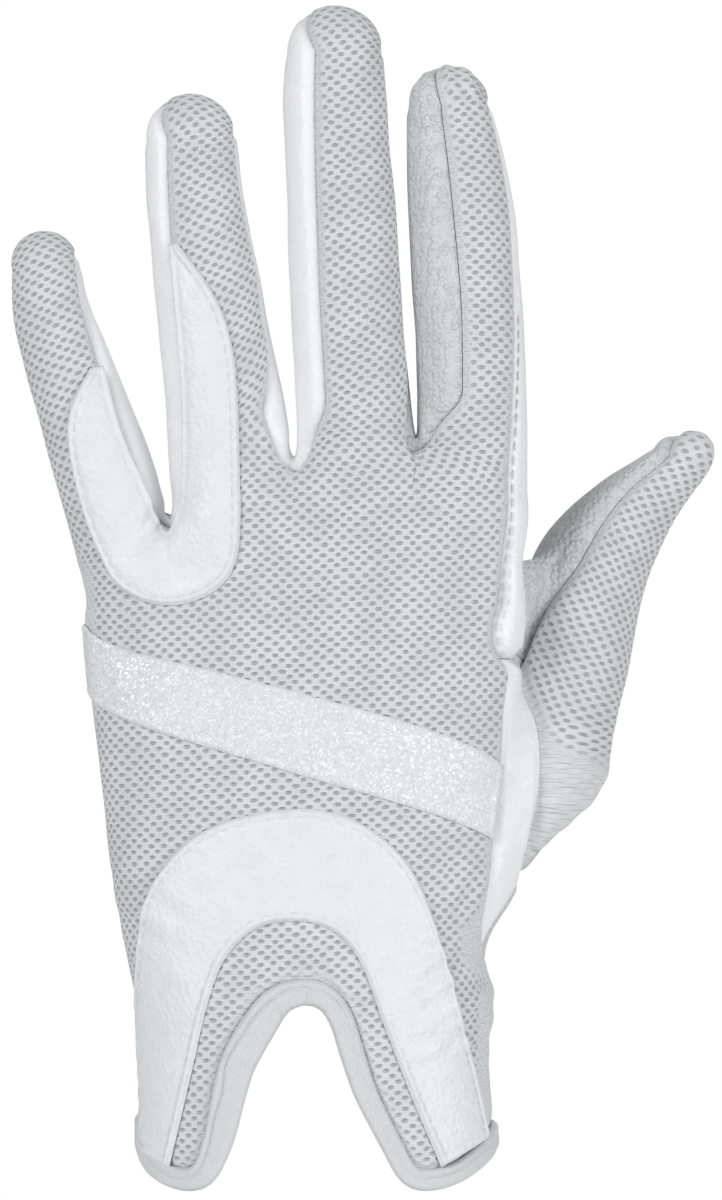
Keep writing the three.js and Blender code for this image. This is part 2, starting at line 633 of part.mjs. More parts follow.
const airMesh = { color: 0xd4d5d7, roughness: 0.85, metalness: 0 };
const leather = { color: 0xe9eaec, roughness: 0.55, metalness: 0 };
const glitter = { color: 0xdfe0e2, roughness: 0.4, metalness: 0.1 };
const tape = { color: 0xe2e3e5, roughness: 0.65, metalness: 0 };
const glove = new THREE.Group();

function addPiece(name, geometry, look) {
  const piece = new THREE.Mesh(geometry, new THREE.MeshStandardMaterial(look));
  piece.name = name;
  glove.add(piece);
}

// Back panel: the body's rows, then a strip up each finger from its part of the feet's line.
function combPanel({ rows, feet, columns, from, to, tipLine }) {
  let start = 0;
  const strips = fingers.map((limb, n) => {
    const foot = feet.slice(start, start + columns[n] + 1);
    start += columns[n];
    const strip = [foot, ...fingerRange.map((row) => fingerRow(n, row, from, to, columns[n]))];
    if (tipLine) strip[lastRow] = tipLine(n);
    return strip;
  });
  return weave(rows, ...strips);
}

const backRows = bodyPanelRows({ hem: backHem, feet: backFeet, low: littleSide, high: thumbSide,
  lowTurn: ulnarTurn, highTurns: thumbSideTurns, turnOf: bodyTurn, highShares: seamShares });
addPiece('back_panel', thicken(combPanel({ rows: backRows, feet: backFeet, columns: backColumns,
  from: 'backLow', to: 'backHigh' }), { wall: meshWall, gap: seamGap }), airMesh);

// Palm panel: its finger strips end on the same line over each tip as the back panel and the side walls.
function palmTipLine(n) {
  const part = (from, to, columns) => fingerRow(n, lastRow, from, to, columns);
  const high = part('palmHigh', 'backHigh', wallColumns);
  const top = part('backHigh', 'backLow', backColumns[n]);
  const low = n === 0 ? [] : part('backLow', 'palmLow', wallColumns);
  return [...high, ...top.slice(1), ...low.slice(1)].reverse();
}
const palmRows = bodyPanelRows({ hem: palmHem, feet: palmFeet, low: littleSide, high: palmSide,
  lowTurn: 360 + ulnarTurn, highTurns: palmSideTurns, turnOf: palmTurn, highShares: palmShares });
addPiece('palm_panel', thicken(combPanel({ rows: palmRows, feet: palmFeet, columns: palmColumns,
  from: 'palmLow', to: 'palmHigh', tipLine: palmTipLine }), { wall: leatherWall, gap: seamGap }), leather);

// Side walls of the fingers: down one finger, through the web and up the next.
const wallNames = ['fourchette_little_ring', 'fourchette_ring_middle', 'fourchette_middle_index'];
wallNames.forEach((name, n) => {
  const down = fingerRange.map((row) => fingerRow(n, row, 'backHigh', 'palmHigh', wallColumns)).reverse();
  const rise = fingerRange.map((row) => fingerRow(n + 1, row, 'backLow', 'palmLow', wallColumns));
  const web = [backWebs[n], crotches[n], palmWebs[n]];
  addPiece(name, thicken(weave([...down, web, ...rise]), { wall: leatherWall, gap: seamGap }), leather);
});

// Index strip: between the back panel and the palm panel, from the thumb's web to the index finger's tip.
const acrossRow = (a, b, columns) => Array.from({ length: columns + 1 }, (_, j) => {
  if (j === 0) return a;
  if (j === columns) return b;
  return settle(a.clone().lerp(b, j / columns));
});
const stripLow = thumbSide.slice(cuffRows + gussetRows);
const stripHigh = [thumbMouthBack[gussetRows - 1], thumbWeb, ...indexSide];
const stripRowsUp = fingerRange.map((row) => fingerRow(3, row, 'backHigh', 'palmHigh', wallColumns));
addPiece('index_strip', thicken(weave([...stripLow.map((p, n) => acrossRow(p, stripHigh[n], wallColumns)),
  ...stripRowsUp]), { wall: leatherWall, gap: seamGap }), leather);

// Thumb gusset: the wedge between the back panel and the thumb's mesh.
const gussetRowsUp = gussetSide.map((p, n) => acrossRow(thumbSide[cuffRows + n], p, wallColumns));
gussetRowsUp[gussetRows] = acrossRow(stripLow[0], stripHigh[0], wallColumns);
addPiece('thumb_gusset', thicken(weave(gussetRowsUp), { wall: leatherWall, gap: seamGap }), leather);

// Thumb panels: fans from the thumb's mouth in the glove's body up to its tip. The fan is even from thumbEven on.
const thumbEven = 0.48;
function thumbPanelRows(feet, unwind, turnBack) {
  const columns = feet.length - 1;
  const places = feet.map((p) => {
    const along = clamp(limbAlong(thumb, p), thumb.first, thumb.last);
    const away = p.clone().sub(limbCentre(thumb, along));
    const turn = unwind(Math.atan2(away.dot(thumb.side), -away.y / thumb.depth) / degrees);
    return { along, turn, reach: away.length() / limbRadius(thumb, along) };
  });
  const target = (along, j) => lerp(follow(thumbSeams, 'along', 'low', along),
    follow(thumbSeams, 'along', 'high', along) - turnBack, j / columns);
  const rows = [feet];
  for (let n = 1; n <= thumbRows; n += 1) {
    const share = (n / thumbRows) ** footCrowding;
    rows.push(places.map((place, j) => {
      const along = lerp(place.along, thumb.last, share);
      const turn = lerp(place.turn, target(along, j), smoothstep(share, 0, thumbEven));
      return settle(limbPoint(thumb, along, turn, lerp(place.reach, 1, smoothstep(share, 0, thumbEven))));
    }));
  }
  for (let n = 1; n <= tipRows; n += 1) {
    rows.push(places.map((place, j) => tipPoint(thumb, target(thumb.last, j),
      lerp(thumbTip.low, thumbTip.high, j / columns), n / tipRows)));
  }
  return rows;
}
const thumbBackFeet = [...thumbMouthBack].reverse();
const thumbPalmFeet = [thumbMouthBack[gussetRows - 1], thumbWeb, ...[...ballSide].reverse(), thumbMouthBack[0]];
const thumbBackRows = thumbPanelRows(thumbBackFeet, (turn) => turn, 0);
const thumbPalmRows = thumbPanelRows(thumbPalmFeet, (turn) => (turn > 0 ? turn - 360 : turn), 360);
thumbPalmRows[thumbRows + tipRows] = thumbBackRows[thumbRows + tipRows];
addPiece('thumb_back', thicken(weave(thumbBackRows), { wall: meshWall, gap: seamGap }), airMesh);
addPiece('thumb_palm', thicken(weave(thumbPalmRows), { wall: leatherWall, gap: seamGap }), leather);

// What lies on the mesh: its inner face stays trimGap clear of the back panel.
const trim = { wall: trimWall, level: trimGap + trimWall };

// Web patch: an arm down the little finger, a round drop under the web and an arm up the ring finger.
const littleArm = table(['along', 'turn'], [0.56, 28], [0.51, -8], [0.42, -24], [0.32, -34], [0.20, -40]);
const ringArm = table(['along', 'turn'],
  [0.06, 0], [0.18, 8], [0.33, 18], [0.46, 22], [0.56, 20], [0.62, 4], [0.655, -26]);
const armRows = 7;
const dropRows = 14;
const dropAngle = 78;
const dropStart = 0.36;
const patchInset = { atWeb: 30, atEnds: 9 };
function armRow(n, edge, rows, share) {
  const along = lerp(rows[0].along, rows[rows.length - 1].along, share);
  const limb = fingers[n];
  const seam = follow(seamTables[n], 'along', edge, along);
  const inner = seam - Math.sign(seam) * lerp(patchInset.atWeb, patchInset.atEnds, smoothstep(share, 0, 0.5));
  const outer = follow(rows, 'along', 'turn', along);
  return Array.from({ length: trimColumns + 1 }, (_, j) =>
    settle(limbPoint(limb, along, lerp(inner, outer, j / trimColumns))));
}
const patchRows = [];
const littleArmUp = [...littleArm].reverse();
for (let n = armRows; n >= 1; n -= 1) patchRows.push(armRow(0, 'backHigh', littleArmUp, n / armRows));
for (let n = 0; n <= dropRows; n += 1) {
  const angle = lerp(-dropAngle, dropAngle, n / dropRows) * degrees;
  patchRows.push(Array.from({ length: trimColumns + 1 }, (_, j) => {
    const reach = lerp(webPatchReach * dropStart, webPatchReach, j / trimColumns);
    return faceAt(backWebs[0].x + Math.sin(angle) * reach, backWebs[0].z - Math.cos(angle) * reach, -1);
  }));
}
for (let n = 1; n <= armRows; n += 1) patchRows.push(armRow(1, 'backLow', ringArm, n / armRows));
addPiece('web_patch', thicken(weave(patchRows), { wall: trimWall, level: patchGap + trimWall }), leather);

// Cuff arch: a horseshoe over the notch. Its edges are shares of its half width and its height.
const archEdges = table(['place', 'outerAcross', 'outerUp', 'innerAcross', 'innerUp'],
  [0.00, -0.99, 0.150, -0.80, 0.115], [0.12, -1.00, 0.360, -0.70, 0.310], [0.24, -0.995, 0.600, -0.59, 0.520],
  [0.32, -0.93, 0.790, -0.50, 0.620], [0.40, -0.64, 0.940, -0.33, 0.695], [0.50, -0.13, 1.000, -0.09, 0.712],
  [0.58, 0.24, 0.965, 0.10, 0.685], [0.66, 0.52, 0.850, 0.24, 0.610], [0.76, 0.70, 0.640, 0.38, 0.440],
  [0.88, 0.84, 0.390, 0.51, 0.280], [1.00, 0.94, 0.175, 0.67, 0.115]);
const archRows = 26;
const archReach = 0.985;
const archRowsUp = Array.from({ length: archRows + 1 }, (_, n) => {
  const read = (column) => follow(archEdges, 'place', column, n / archRows);
  return Array.from({ length: trimColumns + 1 }, (_, j) => {
    const x = lerp(read('outerAcross'), read('innerAcross'), j / trimColumns) * archHalfWidth;
    const z = lerp(read('outerUp'), read('innerUp'), j / trimColumns) * archHeight;
    const side = bodySection(new THREE.Vector3(x, 0, z));
    const reach = side.width * archReach;
    const edge = clamp(x, side.x - reach, side.x + reach);
    return faceAt(edge, z, -1);
  });
});
addPiece('cuff_arch', thicken(weave(archRowsUp), trim), leather);

// Glitter band: from the little finger's side, falling towards the thumb.
const bandLine = table(['share', 'fall', 'width'],
  [0.00, -0.02, 0.96], [0.20, 0.04, 1.00], [0.45, 0.30, 1.08], [0.70, 0.62, 1.12], [1.00, 1.00, 1.04]);
const bandColumns = 22;
const bandInset = 9;
const bandRowsUp = Array.from({ length: bandColumns + 1 }, (_, n) => {
  const share = n / bandColumns;
  const middleZ = bandHeight - bandFall * follow(bandLine, 'share', 'fall', share);
  const width = bandWidth * follow(bandLine, 'share', 'width', share);
  return Array.from({ length: trimColumns + 1 }, (_, j) => {
    const z = middleZ + width * (0.5 - j / trimColumns);
    const far = follow(thumbSideSeam, 'rise', 'turn', z / palmLength) - bandInset / 4;
    return settle(bodyPoint(lerp(ulnarTurn + bandInset, far, share), z));
  });
});
addPiece('glitter_band', thicken(weave(bandRowsUp), trim), glitter);

// Cuff binding: one closed loop along the mouth of both panels.
const hemLoop = [...backHem, ...[...palmHem].reverse().slice(1, -1)];
const bindingEdge = 0.6;
const bindingSection = [
  [seamGap / 2, bindingStand], [bindingWidth - bindingEdge, bindingStand], [bindingWidth, bindingStand - bindingEdge],
  [bindingWidth, bindingStand - bindingWall + bindingEdge], [bindingWidth - bindingEdge, bindingStand - bindingWall],
  [seamGap / 2, bindingStand - bindingWall]];
const bindingPoints = hemLoop.flatMap((p, n) => {
  const ahead = hemLoop[(n + 1) % hemLoop.length];
  const behind = hemLoop[(n + hemLoop.length - 1) % hemLoop.length];
  const normal = outwards(p);
  const down = ahead.clone().sub(behind).normalize().cross(normal).normalize();
  return bindingSection.map(([away, out]) => p.clone().addScaledVector(down, away).addScaledVector(normal, out));
});
const corners = bindingSection.length;
const bindingFaces = hemLoop.flatMap((_, n) => bindingSection.flatMap((__, i) => {
  const next = (n + 1) % hemLoop.length;
  const a = n * corners + i;
  const b = n * corners + (i + 1) % corners;
  const c = next * corners + i;
  const d = next * corners + (i + 1) % corners;
  return [[a, b, c], [b, d, c]];
}));
addPiece('cuff_binding', solidGeometry(bindingPoints, bindingFaces), tape);

export default glove;
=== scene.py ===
"""White left-hand riding glove: mesh back, synthetic leather palm, glitter band and notched cuff.

The worn glove's form is one distance field in mm. Each panel is a fine grid that is settled
on that form, creased, drawn in at its seams and given its wall. Objects are in metres.
"""
import logging
import math
from dataclasses import dataclass, field
from enum import Enum
from functools import partial
from typing import Callable, Iterable, Sequence

import bpy
import numpy as np
from bpy.types import Material, NodeSocket, NodeTree, Object
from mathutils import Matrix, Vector
from mathutils.kdtree import KDTree


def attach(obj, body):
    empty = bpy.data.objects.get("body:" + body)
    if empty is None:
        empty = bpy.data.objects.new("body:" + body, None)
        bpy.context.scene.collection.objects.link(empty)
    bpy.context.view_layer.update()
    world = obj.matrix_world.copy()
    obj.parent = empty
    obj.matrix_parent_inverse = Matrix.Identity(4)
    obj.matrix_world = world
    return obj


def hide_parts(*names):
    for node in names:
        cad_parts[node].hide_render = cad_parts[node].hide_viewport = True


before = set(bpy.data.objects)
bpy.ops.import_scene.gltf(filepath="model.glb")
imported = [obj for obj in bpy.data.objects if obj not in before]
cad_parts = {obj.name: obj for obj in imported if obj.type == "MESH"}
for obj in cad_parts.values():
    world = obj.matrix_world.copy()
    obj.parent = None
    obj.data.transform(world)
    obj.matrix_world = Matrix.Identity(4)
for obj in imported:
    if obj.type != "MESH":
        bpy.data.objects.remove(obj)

log = logging.getLogger("riding_glove")
Points = np.ndarray
Pair = tuple[float, float]
Triple = tuple[float, float, float]
MM = 0.001


class Slot(Enum):
    """The record's material slots."""

    AIR_MESH = "air_mesh"
    LEATHER = "synthetic_leather"
    GLITTER = "glitter_fabric"
    TAPE = "binding_tape"


class Face(Enum):
    """The face of the hand that a line is looked up on."""

    BACK = -1
    PALM = 1


class Table:
    """Rows of named columns, read along a smooth curve through them."""

    FINE = 600

    def __init__(self, names: str, *rows: Sequence[float]) -> None:
        """Keeps the rows and a fine reading of every column.

        Args:
            names: Names of the columns; the first is the key that the others are read by.
            rows: The values, in the order of the names, with the key rising.
        """
        self.keys, *columns = np.array(rows, float).T
        self.fine_keys = np.linspace(self.keys[0], self.keys[-1], self.FINE)
        self.fine = {name: self._curve(values) for name, values in zip(names.split()[1:], columns)}

    def _curve(self, values: Points) -> Points:
        """Reads one column at every fine key.

        Args:
            values: The column's values.

        Returns:
            The values of a Hermite curve through them.
        """
        keys, last = self.keys, len(self.keys) - 1
        before = np.maximum(np.arange(last + 1) - 1, 0)
        after = np.minimum(np.arange(last + 1) + 1, last)
        slope = (values[after] - values[before]) / (keys[after] - keys[before])
        n = np.clip(np.searchsorted(keys, self.fine_keys, side="right") - 1, 0, last - 1)
        span = keys[n + 1] - keys[n]
        s = (self.fine_keys - keys[n]) / span
        ease = s * s * (3 - 2 * s)
        leave = s * (1 - s) ** 2 * span * slope[n]
        arrive = s * s * (1 - s) * span * slope[n + 1]
        return values[n] + (values[n + 1] - values[n]) * ease + leave - arrive

    def read(self, name: str, at: Points | float) -> Points:
        """Reads a column at keys, held at its ends beyond them."""
        return np.interp(at, self.fine_keys, self.fine[name])


def mix(a: Points | float, b: Points | float, share: Points | float) -> Points:
    """Goes from a to b by a share."""
    return a + (b - a) * share


def ramp(value: Points, low: float, high: float) -> Points:
    """Rises smoothly from 0 at low to 1 at high."""
    t = np.clip((value - low) / (high - low), 0, 1)
    return t * t * (3 - 2 * t)


def soft_least(a: Points, b: Points, fillet: float) -> Points:
    """Joins two fields with a fillet of the given size."""
    h = np.clip(0.5 + 0.5 * (b - a) / fillet, 0, 1)
    return mix(b, a, h) - fillet * h * (1 - h)


def unit(v: Points) -> Points:
    """Makes vectors one long."""
    return v / np.maximum(np.linalg.norm(v, axis=-1, keepdims=True), 1e-9)


def shares(count: int) -> Points:
    """Even shares from 0 to 1, in so many steps."""
    return np.linspace(0, 1, count + 1)


def run_of(line: Points) -> Points:
    """Distance along a line of points, from its first."""
    steps = np.linalg.norm(np.diff(line, axis=0), axis=-1)
    return np.concatenate([[0.0], np.cumsum(steps)])


def read_line(line: Points, at: Points | float) -> Points:
    """Points of a line at distances along it."""
    run = run_of(line)
    return np.stack([np.interp(at, run, line[:, axis]) for axis in range(3)], -1)


def from_middle(steps: Points) -> Points:
    """Distances from a grid's middle column, worked out from the steps between its columns."""
    across = np.concatenate([np.zeros((len(steps), 1)), np.cumsum(steps, axis=1)], axis=1)
    middle = across.shape[1] // 2
    return across - across[:, middle:middle + 1]


def bumps(p: Points, size: float, seed: int) -> Points:
    """Smooth, repeatable unevenness.

    Args:
        p: Points in mm.
        size: Typical size of a bump in mm.
        seed: Picks another set of waves.

    Returns:
        A value of about -1 to 1 for each point.
    """
    rng = np.random.default_rng(seed)
    total = np.zeros(p.shape[:-1])
    waves, shortest, longest, strength = 14, 0.6, 1.5, 0.8
    for _ in range(waves):
        way = unit(rng.normal(size=3)) * rng.uniform(shortest, longest) / size * math.pi
        total += np.sin(p @ way + rng.uniform(0, math.tau))
    return total / math.sqrt(waves) * strength


@dataclass(frozen=True)
class Limb:
    """A finger or the thumb. Its turn is 0 towards the back of the hand and 90 towards the thumb."""

    root: Triple
    splay: float
    length: float
    half_width: float
    depth: float
    sections: Table
    curl: float = 0.0
    thumb_sink: float = 0.0

    @property
    def up(self) -> Points:
        """Direction from foot to tip."""
        tilt = math.radians(self.splay)
        return np.array([math.sin(tilt), 0, math.cos(tilt)])

    @property
    def side(self) -> Points:
        """Direction across the limb, towards the thumb's side of the hand."""
        tilt = math.radians(self.splay)
        return np.array([math.cos(tilt), 0, -math.sin(tilt)])

    @property
    def last(self) -> float:
        """Share of the length where the rounded tip begins."""
        return float(self.sections.keys[-1])

    def centre(self, along: Points) -> Points:
        """Points of the limb's own line at shares of its length."""
        along = np.asarray(along, float)
        shift = self.sections.read("side", along) * self.length
        if self.thumb_sink:
            sink = self.sections.read("sink", along) * self.thumb_sink
        else:
            sink = self.curl * along * np.abs(along)
        out = np.asarray(self.root) + along[..., None] * self.length * self.up + shift[..., None] * self.side
        out[..., 1] += sink
        return out

    def radius(self, along: Points) -> Points:
        """Half width at shares of the length."""
        return self.sections.read("girth", along) * self.half_width

    def along(self, p: Points) -> Points:
        """Share of the length that points lie at."""
        return (p - np.asarray(self.root)) @ self.up / self.length

    def along_at(self, z: Points | float) -> Points:
        """Share of the length at a height."""
        return (np.asarray(z, float) - self.root[2]) / (self.length * self.up[2])

    def field(self, p: Points) -> Points:
        """Distance field, negative inside."""
        along = np.clip(self.along(p), self.sections.keys[0], self.last)
        away = p - self.centre(along)
        away[..., 1] /= self.depth
        return np.linalg.norm(away, axis=-1) - self.radius(along)

    def point(self, along: Points, turn: Points, reach: Points | float = 1.0) -> Points:
        """Points round the limb.

        Args:
            along: Shares of the length.
            turn: Turns in degrees.
            reach: Share of the radius.

        Returns:
            The points.
        """
        along, turn = np.broadcast_arrays(np.asarray(along, float), np.asarray(turn, float))
        radius = self.radius(along) * reach
        out = self.centre(along) + (radius * np.sin(np.radians(turn)))[..., None] * self.side
        out[..., 1] -= radius * self.depth * np.cos(np.radians(turn))
        return out

    def tip(self, turn: Points, bend: Points, share: Points) -> Points:
        """Points on the rounded end, before they are settled.

        Args:
            turn: Turn at which the last section is left, in degrees.
            bend: Bend at which the tip's outline is met, in degrees from the limb's line.
            share: Share of the way between them.

        Returns:
            The points.
        """
        turn, bend, share = np.broadcast_arrays(np.radians(turn), np.radians(bend), np.asarray(share, float))
        leave = np.sin(turn)[..., None] * self.side
        leave[..., 1] -= np.cos(turn)
        arrive = np.sin(bend)[..., None] * self.side + np.cos(bend)[..., None] * self.up
        angle = np.arccos(np.clip((leave * arrive).sum(-1), -1, 1))[..., None]
        s = share[..., None]
        way = unit(leave * np.sin((1 - s) * angle) + arrive * np.sin(s * angle))
        way[..., 1] *= self.depth
        return self.centre(self.last) + way * self.radius(self.last)


@dataclass(frozen=True)
class HandBody:
    """The glove's body, from the wrist to the crest between the fingers."""

    palm_length: float = 139.5
    palm_half_width: float = 42.0
    palm_half_depth: float = 14.5
    wrist_half_width: float = 34.0
    wrist_half_depth: float = 20.0
    knuckle_taper: float = 34.0
    crest_rounding: float = 5.0
    crest_thinness: float = 0.62
    power: float = 2.3
    side_turning: Pair = (0.93, 0.995)
    sections: Table = field(default_factory=lambda: Table(
        "rise to_palm little thumb depth",
        (-0.05, 0, 1, 1, 1), (0.082, 0, 0.99, 0.985, 1), (0.184, 0, 1, 0.95, 0.99),
        (0.265, 0.02, 1.005, 0.985, 0.97), (0.33, 0.25, 1, 0.89, 0.96),
        (0.457, 0.72, 0.985, 0.865, 1), (0.593, 1, 0.985, 0.865, 1.03),
        (0.729, 1, 1.035, 0.895, 1), (0.83, 1, 1.045, 0.905, 0.95),
        (1.05, 1, 0.97, 0.9, 0.88)))
    crest: Table = field(default_factory=lambda: Table(
        "across rise", (-1.1, 0.79), (-0.87, 0.84), (-0.72, 0.875), (-0.38, 0.945), (-0.1, 0.975),
        (0.2, 0.985), (0.53, 0.99), (0.75, 0.97), (0.95, 0.9)))

    def section(self, x: Points, z: Points) -> tuple[Points, Points, Points, Points]:
        """The body's section at places seen from the back.

        Args:
            x: Places across, in mm.
            z: Heights, in mm.

        Returns:
            The section's middle, half width, half depth and the height of its top.
        """
        rise = z / self.palm_length
        to_palm = self.sections.read("to_palm", rise)
        half = mix(self.wrist_half_width, self.palm_half_width, to_palm)
        low = -self.sections.read("little", rise) * half
        high = self.sections.read("thumb", rise) * half
        top = self.crest.read("rise", x / self.palm_half_width) * self.palm_length
        thin = mix(self.crest_thinness, 1.0, ramp(top - z, 0, self.knuckle_taper))
        depth = mix(self.wrist_half_depth, self.palm_half_depth, to_palm)
        return (low + high) / 2, (high - low) / 2, depth * self.sections.read("depth", rise) * thin, top

    def field(self, p: Points) -> Points:
        """Distance field, negative inside."""
        middle, width, depth, top = self.section(p[..., 0], p[..., 2])
        across = np.abs(p[..., 0] - middle) / width
        deep = np.abs(p[..., 1]) / depth
        size = np.maximum((across ** self.power + deep ** self.power) ** (1 / self.power), 1e-3)
        steep = size ** (1 - self.power)
        slope = np.hypot(steep * across ** (self.power - 1) / width, steep * deep ** (self.power - 1) / depth)
        return -soft_least((1 - size) / np.maximum(slope, 1e-4), top - p[..., 2], self.crest_rounding)

    def point(self, turn: Points, z: Points) -> tuple[Points, Points]:
        """Points of the body's own section.

        Args:
            turn: Turns round the body, in degrees.
            z: Heights, in mm.

        Returns:
            The points, and the directions straight out from them.
        """
        turn, z = np.broadcast_arrays(np.radians(np.asarray(turn, float)), np.asarray(z, float))
        middle, width, _, _ = self.section(np.zeros_like(z), z)
        x = middle + width * np.sin(turn)
        _, _, depth, _ = self.section(x, z)
        away = np.stack([np.sin(turn) / width, -np.cos(turn) / depth, np.zeros_like(z)], -1)
        return np.stack([x, -depth * np.cos(turn), z], -1), unit(away)

    def turn_of(self, p: Points) -> Points:
        """Turns of points round the body, in degrees."""
        middle, width, depth, _ = self.section(p[..., 0], p[..., 2])
        across = (p[..., 0] - middle) / width
        level = np.arcsin(np.clip(across, -1, 1))
        flat = np.where(p[..., 1] < 0, level, np.sign(across) * math.pi - level)
        rounded = np.arctan2(across, -p[..., 1] / depth)
        return np.degrees(mix(flat, rounded, ramp(np.abs(across), *self.side_turning)))


STATIONS = "along side girth"
EDGES = "along back_low back_high palm_low palm_high"
LITTLE, RING, MIDDLE, INDEX = range(4)


@dataclass
class HandForm:
    """The outer face of the worn glove: body, four fingers and thumb, joined with fillets."""

    body: HandBody = field(default_factory=HandBody)
    web_fillet: float = 1.4
    knuckle_fillet: float = 7.0
    thumb_fillet: float = 11.0
    finger_curl: float = 7.0
    fingers: list[Limb] = field(init=False)
    thumb: Limb = field(init=False)

    def __post_init__(self) -> None:
        """Places the limbs on the body, by shares of its size."""
        b = self.body

        def limb(across: float, rise: float, sink: float, splay: float, length: float, half_width: float,
                 depth: float, sections: Table, **extra: float) -> Limb:
            """Makes one limb, with its root given as shares of the body's sizes."""
            root = (across * b.palm_half_width, sink * b.palm_half_depth, rise * b.palm_length)
            return Limb(root, splay, length, half_width, depth, sections, **extra)

        curl = {"curl": self.finger_curl}
        self.fingers = [
            limb(-0.886, 0.858, 0.2, -14.7, 65.2, 9.9, 0.92, Table(
                STATIONS, (0, 0.01, 0.9), (0.16, 0.018, 0.94), (0.31, 0.011, 0.91), (0.47, 0, 0.84),
                (0.62, -0.011, 0.78), (0.77, -0.015, 0.72), (0.898, 0, 0.67)), **curl),
            limb(-0.38, 0.899, 0.06, -6.2, 84, 11.4, 0.88, Table(
                STATIONS, (0, 0, 0.97), (0.11, 0.008, 1), (0.23, 0.011, 0.98), (0.34, 0.01, 0.94),
                (0.46, 0.004, 0.89), (0.57, 0.002, 0.87), (0.68, -0.003, 0.83), (0.8, -0.004, 0.79),
                (0.898, 0, 0.75)), **curl),
            limb(0.195, 0.94, 0, -3.2, 94.8, 11, 0.9, Table(
                STATIONS, (0, 0, 0.99), (0.19, -0.001, 0.97), (0.39, -0.004, 0.95),
                (0.59, -0.004, 0.93), (0.79, -0.004, 0.88), (0.902, 0, 0.84)), **curl),
            limb(0.683, 0.94, 0.06, -2.6, 83.3, 11, 0.9, Table(
                STATIONS, (0, 0.006, 0.96), (0.16, 0.018, 0.93), (0.39, 0.022, 0.93), (0.62, 0.016, 0.91),
                (0.75, 0.011, 0.86), (0.905, 0, 0.72)), **curl)]
        self.thumb = limb(1.099, 0.647, 0.00, 26.8, 60.0, 11.4, 1.00, Table(
            STATIONS + " sink", (-0.545, -0.044, 0.80, 0.30), (-0.326, -0.006, 0.90, 0.46),
            (-0.128, 0.026, 0.98, 0.62), (0, 0, 0.98, 0.72), (0.205, -0.051, 1, 0.86),
            (0.468, -0.109, 0.95, 0.98), (0.7, -0.082, 0.73, 1), (0.9, -0.01, 0.5, 0.93)),
            thumb_sink=21.0)

    def field(self, p: Points) -> Points:
        """Distance to the outer face, negative inside."""
        fingers = self.fingers[0].field(p)
        for finger in self.fingers[1:]:
            fingers = soft_least(fingers, finger.field(p), self.web_fillet)
        hand = soft_least(self.body.field(p), fingers, self.knuckle_fillet)
        return soft_least(hand, self.thumb.field(p), self.thumb_fillet)

    def slope(self, p: Points, step: float = 0.05) -> Points:
        """Gradient of the field, by central differences over a step."""
        parts = []
        for axis in range(3):
            move = np.zeros(3)
            move[axis] = step
            parts.append((self.field(p + move) - self.field(p - move)) / (2 * step))
        return np.stack(parts, -1)

    def outwards(self, p: Points, evening: float = 1.3) -> Points:
        """Directions out of the glove, evened out in narrow folds."""
        return unit(self.slope(p, evening))

    def settle(self, p: Points, rounds: int = 9) -> Points:
        """Moves points onto the outer face.

        Args:
            p: Points near the face.
            rounds: Most rounds of the search.

        Returns:
            The moved points.
        """
        shape = np.shape(p)
        q = np.array(p, float).reshape(-1, 3)
        open_ones = np.arange(len(q))
        for _ in range(rounds):
            off = self.field(q[open_ones])
            far = np.abs(off) > 1e-3
            open_ones, off = open_ones[far], off[far]
            if not len(open_ones):
                break
            slope = self.slope(q[open_ones])
            size = np.maximum((slope ** 2).sum(-1), 0.05)
            q[open_ones] += slope * np.clip(-off / size, -4, 4)[:, None]
        return q.reshape(shape)

    def settle_along(self, p: Points, way: Points) -> Points:
        """Moves points onto the outer face along given directions, and then straight onto it."""
        q = np.array(p, float)
        step = 0.05
        for _ in range(14):
            off = self.field(q)
            if np.abs(off).max() < 1e-3:
                break
            slope = np.maximum((self.field(q + way * step) - off) / step, 0.35)
            q += way * np.clip(-off / slope, -2, 2)[..., None]
        return self.settle(q)

    def face_at(self, x: Points, z: Points, face: Face) -> Points:
        """The outer face at places seen from one side of the hand."""
        x, z = np.broadcast_arrays(np.asarray(x, float), np.asarray(z, float))
        side = face.value
        p = np.stack([x, np.full_like(x, side * 69.0), z], -1)
        for _ in range(70):
            off = self.field(p)
            move = (off > 1e-3) & (p[..., 1] * side > -self.body.palm_half_depth)
            if not move.any():
                break
            p[..., 1] -= np.where(move, side * np.maximum(off * 0.6, 0.01), 0.0)
        return self.settle(p)

    def body_face(self, turn: Points, z: Points) -> Points:
        """The outer face straight out from the body's section."""
        return self.settle_along(*self.body.point(turn, z))


@dataclass(frozen=True)
class Fold:
    """A group of soft ridges in the cloth, seen from the back or the palm."""

    x: float
    z: float
    angle: float
    length: float
    spread: float
    pitch: float
    depth: float
    face: Face = Face.BACK

    def lift(self, p: Points, out: Points) -> Points:
        """Height of the ridges.

        Args:
            p: Points in mm.
            out: Outward directions there.

        Returns:
            Millimetres to move each point outwards.
        """
        a = math.radians(self.angle)
        dx, dz = p[..., 0] - self.x, p[..., 2] - self.z
        along = dx * math.cos(a) + dz * math.sin(a)
        across = -dx * math.sin(a) + dz * math.cos(a)
        across = across + 0.05 * along * np.sin(along / self.length * 3.1 + self.x)
        near = np.exp(-(along / self.length) ** 2 - (across / self.spread) ** 2)
        facing = ramp(out[..., 1] * self.face.value, -0.35, 0.25)
        return self.depth * near * facing * np.cos(across / self.pitch * math.tau)


@dataclass(frozen=True)
class Cut:
    """What a piece is cut from, under the name of the node that it replaces."""

    name: str
    finish: Material
    slot: Slot
    # Width and length laid flat, in metres, and area in square metres
    flat: Pair
    area: float

    def declare(self, piece: Object) -> None:
        """Puts the piece on the glove's body in its node's place."""
        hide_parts(self.name)
        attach(piece, "root")
        log.info("%s: %d faces", piece.name, len(piece.data.polygons))


